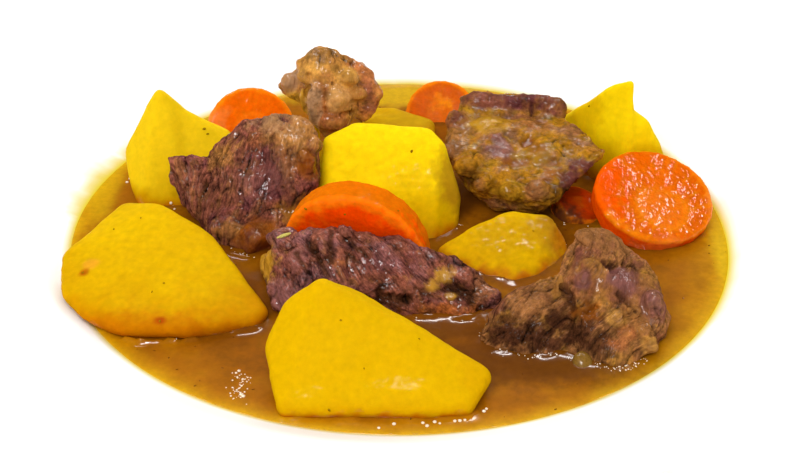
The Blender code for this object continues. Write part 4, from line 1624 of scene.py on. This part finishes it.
# Every piece of beef, with its gelatin lumps, its fat, its clefts, the painted shade in its hollows and under
# its overhangs, and where stock clings to it.
BEEF = [
    Beef("beef_left", 41, (0.15, 0.3, 1), lumps=[
        Ball((-23.8, 0.6, 37.6), (2.4, 2.4, 4.4), Tint.CARAMEL, (10, 0, 0)),
        Block((-36.5, -9, 21.4), (3.9, 3.2, 3.6), Tint.CARAMEL, (10, 20, 35)),
    ], patches=[
        Patch(Tint.LOBE, (-27, 5.5, 44), (9.5, 10, 6.5), 1, 0.9, 0.5),
        Patch(Tint.GREY, (-32, 6, 46.5), (7, 6, 3), 0.6, 0.3, 0.6),
        Patch(Tint.RUST, (-36.5, 4.5, 42.5), (2.6, 4, 4.5), 0.5),
        Patch(Tint.OCHRE, (-46, 4, 38.5), (5, 4, 5), 0.25),
        Patch(Tint.WINE, (-33, 0, 35.5), (8, 8, 8.5), 0.7, 0, 0.3, 1),
        Patch(Tint.BROWN, (-28, 0, 38.5), (4, 4, 5), 0.6, 0, 0.2, 0.6),
        Patch(Tint.PLUM, (-36, -1, 34), (7, 7, 5), 0.4, 0, 0, 0.6),
        # Painted shade in two holes on the left edge.
        Patch(Tint.DARK, (-51.5, -1.5, 29), (1.3, 2.5, 1.5), 1, -1.4),
        Patch(Tint.DARK, (-50.5, 0.5, 32), (1, 2.5, 2.4), 0.9, -0.9),
        # Painted shade in a crease under the lobe.
        Patch(Tint.DARK, (-26.5, 1, 36), (3.4, 3, 1.1), 0.8, -0.9),
        Patch(Tint.TAN, (-42.5, -7.5, 23), (6, 4, 3), 0.6, 0.5, 0.3),
        Patch(Tint.TAN, (-35.5, -8.5, 23.5), (6, 3, 2), 0.7, 0.3, 0.5),
        # Painted shade in the gap at the lobe's side.
        Patch(Tint.DARK, (-23, 2.5, 37.5), (1.4, 3, 5.5), 0.8, -1),
        Patch(Tint.GLAZE, (-26.5, -5, 27), (6, 6, 4), 0.7, 0.2, 0.7, 1),
        # Painted shadow in the gap between the beef and the potato beside it.
        Patch(Tint.DARK, (-20.5, -1, 36), (2, 5, 5), 0.85),
    ]),
    Beef("beef_back", 42, (0.1, 0.2, 1), (Tint.TAN, Tint.GOLD, Tint.RUST), lumps=[
        Ball((-16.5, 27.4, 43.2), (3.4, 2.8, 3.4), Tint.CREAM, weight=0.9, calm=0.6),
        Ball((-13.6, 29.6, 48.6), (2.8, 2.4, 2.6), Tint.GOLD, weight=0.9, calm=0.5),
        Ball((-22.5, 30.8, 48.8), (5, 2.8, 3.4), Tint.GOLD, calm=0.3),
        Ball((-18, 25.6, 37.3), (3.6, 2.6, 2.6), Tint.RUST, calm=0.2),
        Ball((-23, 26.6, 41.5), (2.2, 2.2, 6), Tint.GREY, weight=0.9, calm=0.3),
        Ball((-11, 28.2, 44), (2.4, 1.8, 2), Tint.TAN),
        Ball((-29.6, 34.5, 44.6), (2.6, 2.2, 2.6), Tint.GREY),
        Ball((-26, 29, 42), (1.2, 1.6, 4), Tint.OCHRE),
    ], patches=[
        Patch(Tint.GREY, (-22, 33, 53), (3, 4, 2.4), 0.7),
        Patch(Tint.CREAM, (-28, 30, 45.5), (3, 4, 3), 0.6, calm=0.6),
        Patch(Tint.CARAMEL, (-19.8, 26.5, 43), (0.8, 3, 4.5), 0.8, -0.7),
        Patch(Tint.CARAMEL, (-15, 27, 39.4), (4, 3, 0.9), 0.8, -0.7),
        Patch(Tint.CARAMEL, (-24, 29, 48), (1, 3, 3), 0.6, -0.6),
        Patch(Tint.SALMON, (-9, 32, 47), (5, 8, 8), 0.95),
        Patch(Tint.MEAT, (-8.5, 30, 42.5), (2.4, 6, 6), 0.75),
        Patch(Tint.OCHRE, (-28, 32, 40), (4, 5, 5), 0.7),
    ], bundle=0.3, fine=0.12, cleft=0.4, granular=0.3, grain_size=2.6, dressed=0.5, flecked=0.2),
    Beef("beef_right", 43, (1, -0.3, -0.1), (Tint.GLAZE, Tint.OLIVE, Tint.BROWN), lumps=[
        Ball((25, 35.5, 38.2), (7.5, 2.6, 2.6), Tint.MEAT, (0, 4, 0), 0.95, 0.2),
        Ball((35.5, 35, 38.2), (6, 2.4, 2.6), Tint.WINE, weight=0.95, calm=0.2),
        Ball((42.8, 33.4, 36.6), (3.6, 3, 3.4), Tint.MEAT, calm=0.2),
        Ball((15.6, 30, 35.5), (3.2, 2.8, 2.8), Tint.MEAT, calm=0.2),
        Ball((13.6, 18.5, 32), (2.8, 2.6, 2), Tint.BROWN, calm=0.2),
        Ball((17.5, 11, 31), (3, 2.6, 2.6), Tint.GLAZE, weight=0.4, calm=0.2),
        Ball((22.5, 6.6, 28.8), (3.2, 2.4, 2.6), Tint.GLAZE, weight=0.4, calm=0.2),
        Ball((29, 3.4, 28), (3.4, 2.4, 2.4), Tint.OLIVE, weight=0.4, calm=0.2),
        Ball((36, 2.6, 29), (3, 2.4, 2.6), Tint.BROWN, weight=0.4, calm=0.2),
    ], patches=[
        Patch(Tint.OCHRE, (23, 26.5, 37), (9, 5, 4), 0.65, 0.2, 0.9),
        Patch(Tint.MEAT, (33, 30, 38), (12, 2.4, 2.4), 0.6, -0.6),
        # Painted shade in the grooves of the rolled rim.
        Patch(Tint.DARK, (24.8, 35, 39.5), (0.8, 3, 3), 0.8, -0.8),
        Patch(Tint.DARK, (36.3, 34, 38), (0.7, 3, 3), 0.8, -0.8),
        Patch(Tint.DARK, (40.6, 33.5, 37), (0.7, 3, 3), 0.8, -0.8),
        Patch(Tint.OLIVE, (36, 13, 33), (9, 5, 3), 0.5, 0.2, 0.7, 0.6),
        Patch(Tint.BROWN, (15, 21, 34.5), (4, 6, 5), 0.7),
        Patch(Tint.OCHRE, (24.5, 24.5, 36.5), (5, 3.5, 3), 0.5, 0, 0.5),
        Patch(Tint.CARAMEL, (36.5, 15, 33.5), (3, 3, 3), 0.6, -0.4, 0.3, 0.8),
        # Painted shade along the low left edge.
        Patch(Tint.DARK, (19, 9.5, 29.5), (5, 4, 4), 0.6),
        Patch(Tint.PLUM, (27, 16.6, 34), (5, 6, 3), 0.85, 0.3, 0.3, 0.8),
        Patch(Tint.CARAMEL, (34, 18.5, 35), (2.6, 2.4, 3), 0.9, -1, 0.3, 1),
        Patch(Tint.CARAMEL, (41, 10.5, 32.5), (2.4, 2, 3), 0.8, -0.8, 0.3, 1),
        Patch(Tint.CARAMEL, (31, 11, 33), (5, 2, 3), 0.7, -0.5, 0.5, 1),
        Patch(Tint.RUST, (38, 25, 36), (5, 4, 3), 0.6),
        # Painted shade on the low right side, under the slab.
        Patch(Tint.DARK, (46, 4, 28), (9, 6, 5), 0.85),
        Patch(Tint.WINE, (49, 8.6, 33), (6, 3.4, 2.6), 0.9, 0, 0.3, 0.3),
        Patch(Tint.WINE, (45.5, 5.2, 31), (5, 4, 2.6), 0.8, 0, 0.2, 0.2),
        Patch(Tint.CARAMEL, (39.5, 6.5, 31.5), (3.6, 3, 2.4), 0.7, 0.2, 0.5, 1),
    ], coarse=1.2, bundle=0.1, fine=0.3, cleft=0.5, granular=0.34, grain_size=2, dressed=0.1, flecked=0.3,
        tone=0.93),
    Beef("beef_front", 44, (0.62, -0.55, -0.56), (Tint.MEAT, Tint.WINE, Tint.PLUM), lumps=[
        Ball((-12.6, -28.4, 34.6), (2.6, 2.4, 2.6), Tint.MEAT, calm=0),
        Ball((-0.5, -28.6, 31.5), (2.4, 2.4, 2), Tint.MEAT, calm=0),
        Ball((-33, -21, 21.5), (1.6, 3.6, 2.6), Tint.OCHRE),
        Ball((-28.6, -25, 32.3), (3.8, 2.4, 1.9), Tint.PLUM, calm=0.2),
    ], patches=[
        Patch(Tint.FAT, (11.2, -33.4, 27), (2.8, 3.2, 2.5), 1, 0.4, 1, 0.5),
        Patch(Tint.FAT, (8.2, -35, 24.6), (2.4, 3, 2), 1, 0.4, 1),
        Patch(Tint.FAT, (12.8, -37, 23), (2.2, 2.6, 1.3), 1, 0.5, 1, 0.5),
        # Painted shade in a crease beside the fat.
        Patch(Tint.DARK, (15.5, -36.5, 24.6), (3, 3, 1.5), 0.7, -0.8),
        Patch(Tint.PLUM, (-28.6, -39, 24), (4, 5, 5), 0.85, 0.4, 0.35, 0.6),
        Patch(Tint.PLUM, (-24, -33, 30), (4, 4, 4), 0.5, 0.3, 0.4),
        Patch(Tint.OCHRE, (-32.5, -28, 26.5), (5.4, 7, 6.4), 0.85, 0.3, 0.7, 0.6),
        Patch(Tint.RUST, (-29, -25, 32.5), (4, 4, 3), 0.7, 0, 0.3),
        Patch(Tint.RUST, (-15, -33, 30.5), (2.6, 3, 1.8), 0.9, 0.4, 0.7),
        Patch(Tint.WINE, (-4, -33, 29), (9, 4, 5), 0.4, 0, 0, 0.8),
        # Painted shade in two clefts.
        Patch(Tint.DARK, (-16.4, -29.6, 34), (1, 3.4, 3.4), 0.9, -1.2),
        Patch(Tint.DARK, (-20.8, -31.5, 31), (0.9, 3.4, 3.4), 0.8, -0.9),
        # Painted shade along the low front edge.
        Patch(Tint.DARK, (-6, -39, 22.5), (12, 4, 3), 0.8, -0.5),
        Patch(Tint.CARAMEL, (12, -40, 20), (12, 4, 2.6), 0.7),
        Patch(Tint.BROWN, (20, -34, 24), (6, 6, 4), 0.5),
    ], grooves=[
        # Painted shade in each groove between bundles.
        Groove((-22, -29.8, 34.1), (-19.5, -34.3, 31.9)),
        Groove((-19.5, -34.3, 31.9), (-17, -37.7, 28.7)),
        Groove((-16.8, -31.5, 34.3), (-16.2, -34.6, 31.8), 1.5, 1.4),
        Groove((-11.1, -31.1, 33.8), (-7.8, -32.7, 31.4), 0.9, 0.7),
        Groove((-12.8, -32.6, 32.6), (-9.4, -34, 30.2), 0.8, 0.6),
        Groove((-24.6, -32.6, 32), (-22.2, -36, 29.2), 0.8, 0.7),
        Groove((-4.6, -39.2, 23.6), (2.1, -38.7, 22.7), 1.6, 1.2),
        Groove((11.8, -35.9, 24.4), (17.5, -37.1, 22.8), 1.6, 1.4),
        Groove((4, -37.6, 25.4), (9.5, -38.2, 23.2), 1.2, 1),
    ], coarse=1.2, bundle=1.8, cleft=1.1, dressed=0.1, sweep=0.028, tone=1.03),
    Beef("beef_front_right", 45, (-0.6, -0.55, -0.55), (Tint.BROWN, Tint.MEAT, Tint.TAN), lumps=[
        Ball((47.6, -33.8, 36.8), (6.2, 3.2, 1.5), Tint.BROWN, (10, 14, 0), calm=0.4),
        Ball((45, -41.8, 33), (3.2, 2.4, 3.4), Tint.TAN, weight=0.4, calm=0.5),
        Ball((42.6, -44.8, 31.2), (1.7, 1.8, 3.8), Tint.PLUM, (0, 15, 0)),
        Ball((47.2, -47.4, 28.6), (1.5, 1.6, 2.8), Tint.TAN, (0, -20, 0), 0.4, 0.4),
        Ball((50.4, -51.6, 26.4), (2.4, 2, 2), Tint.GOLD, weight=0.5, calm=0.4),
        Ball((54.2, -50.4, 27), (2, 1.8, 2.4), Tint.JELLY, weight=0.6, calm=0.4),
        Ball((52.2, -54, 23.6), (2.6, 2, 2), Tint.RUST, weight=0.5, calm=0.4),
        Ball((56.6, -53, 24), (2, 1.8, 2), Tint.JELLY, weight=0.6, calm=0.4),
        Ball((57.8, -55.4, 21.4), (2.4, 1.8, 1.8), Tint.GOLD, weight=0.7, calm=0.5),
        Ball((59.4, -47.2, 26), (2.8, 2.8, 4.4), Tint.PLUM, weight=0.5, calm=0.4),
        Ball((37, -45.2, 30), (1.1, 1.4, 4.4), Tint.TAN, (0, 12, 0)),
    ], patches=[
        # Painted shade in a hole at the top.
        Patch(Tint.DARK, (50, -40.2, 33.6), (2.4, 2.1, 1.5), 1, -2),
        Patch(Tint.TAN, (54, -52, 25), (8, 6, 6), 0.3, wet=1),
        Patch(Tint.CARAMEL, (52.6, -51, 25.6), (0.9, 3, 3), 0.7, -0.7),
        Patch(Tint.CARAMEL, (55.6, -53, 22.6), (3, 3, 0.8), 0.7, -0.7),
        Patch(Tint.RUST, (46, -44, 31), (9, 8, 7), 0.3, 0, 0.6, 0.7),
        Patch(Tint.MEAT, (56, -45, 29), (7, 8, 8), 0.5, 0, 0.6, 0.7),
        Patch(Tint.PLUM, (52, -42.5, 31.5), (5, 5, 5), 0.8, 0.2, 0.7, 0.9),
        Patch(Tint.WINE, (43, -40, 34), (3, 5, 3), 0.5),
        Patch(Tint.MEAT, (46, -36.5, 36), (5, 3, 2.4), 0.7),
        Patch(Tint.BROWN, (32, -46, 28), (7, 5, 5), 0.6, 0, 0.2),
        # Painted shade on the low front, under the overhang.
        Patch(Tint.DARK, (29, -53.5, 22.5), (11, 5, 5), 1),
        Patch(Tint.DARK, (40.5, -53, 24.6), (8.5, 6, 5.5), 0.95, -0.4),
        Patch(Tint.DARK, (46, -57, 22.6), (7, 4, 4), 0.85),
        Patch(Tint.DARK, (25, -50, 24.6), (4, 4, 2.6), 0.8),
        Patch(Tint.DARK, (37.4, -54, 21.2), (5, 4, 3), 0.8),
        Patch(Tint.RUST, (50.7, -57.5, 23.4), (3, 3, 2.4), 0.6),
        Patch(Tint.MEAT, (22.5, -46, 27), (3, 4, 4), 0.6),
        # Painted shade in a crease.
        Patch(Tint.DARK, (37.5, -50, 25.5), (3, 4, 4.5), 0.8, -0.7),
        Patch(Tint.CARAMEL, (43, -50.5, 27), (4.5, 3, 3), 0.7, 0.3, 0.7),
    ], grooves=[
        # Painted shade in the outer grooves, caramel in the middle one.
        Groove((38.6, -45.6, 30.4), (40.6, -47.8, 26.6), 1.4, 1.7),
        Groove((44.2, -50.5, 27.6), (47.4, -49.8, 30.4), 0.9, 0.8, Tint.CARAMEL),
        Groove((51.6, -46.6, 30), (54.6, -50.6, 27.4), 1.2, 1),
    ], bundle=1.1, fine=0.7, flecked=0.25, dressed=-0.9, tone=0.9),
]

# Where the gravy is thin and golden, and where food shades it.
GRAVY_SHADE = [
    Patch(tint, (x, y, POOL_Z), (wide, deep, 4), weight) for tint, x, y, wide, deep, weight in (
        (Tint.THIN, 0, 77, 40, 9, 0.9),
        (Tint.THIN, -80.5, 22, 6, 26, 0.6),
        (Tint.SHALLOW, -72, 17, 6.5, 13, 0.75),
        (Tint.THIN, 84, -14, 5, 32, 0.9),
        (Tint.SHADED, 32, -1, 15, 13, 1),
        (Tint.SHADED, 17, 18, 6, 14, 0.8),
        (Tint.SHADED, 10, -46, 18, 5, 0.6),
        (Tint.SHADED, 33, -58, 32, 13, 0.75),
        (Tint.SHADED, -31, 4, 5, 12, 0.8),
    )
]

# Where gravy climbs higher against the food: a place and how much.
MENISCI = [
    (-35, -47.5, 1.2), (7, -43, 0.8), (15, -44, 0.9), (19, -43, 0.8), (27, -24, 0.4),
    (16, 4, 0.8), (46, -60, 0.25),
]

# The small ridges of gravy that catch the light: two ends and a height.
RIDGES = [
    ((-64.4, -49.6), (-60.6, -51.2), 0.75), ((-60.6, -51.2), (-56.2, -51), 0.8),
    ((-54.2, -50.4), (-52.4, -50.7), 0.8), ((-50, -50.2), (-48, -49.6), 0.7),
    ((-43.1, -12.4), (-39.1, -14.2), 0.75),
]


def stew() -> list[Object]:
    """Builds the food and the gravy that it stands in.

    Returns:
        The shown objects, with the gravy last.
    """
    potato, carrot, beef = BoiledPotato().build(), StewedCarrot().build(), BraisedBeef().build()
    made = [piece.build(potato) for piece in POTATOES]
    made += [piece.build(carrot) for piece in CARROTS]
    made += [piece.build(beef) for piece in BEEF]
    return [*made, Gravy(GRAVY_SHADE).build(ThinGravy().build(), made)]


def main() -> None:
    """Builds the stew, its plate and the studio, in that order."""
    logging.basicConfig(level=logging.INFO, format="%(message)s")
    Garnish(stew()).build()
    Plate().build(GlazedPorcelain().build())
    Studio().build()


if __name__ == "__main__":
    main()
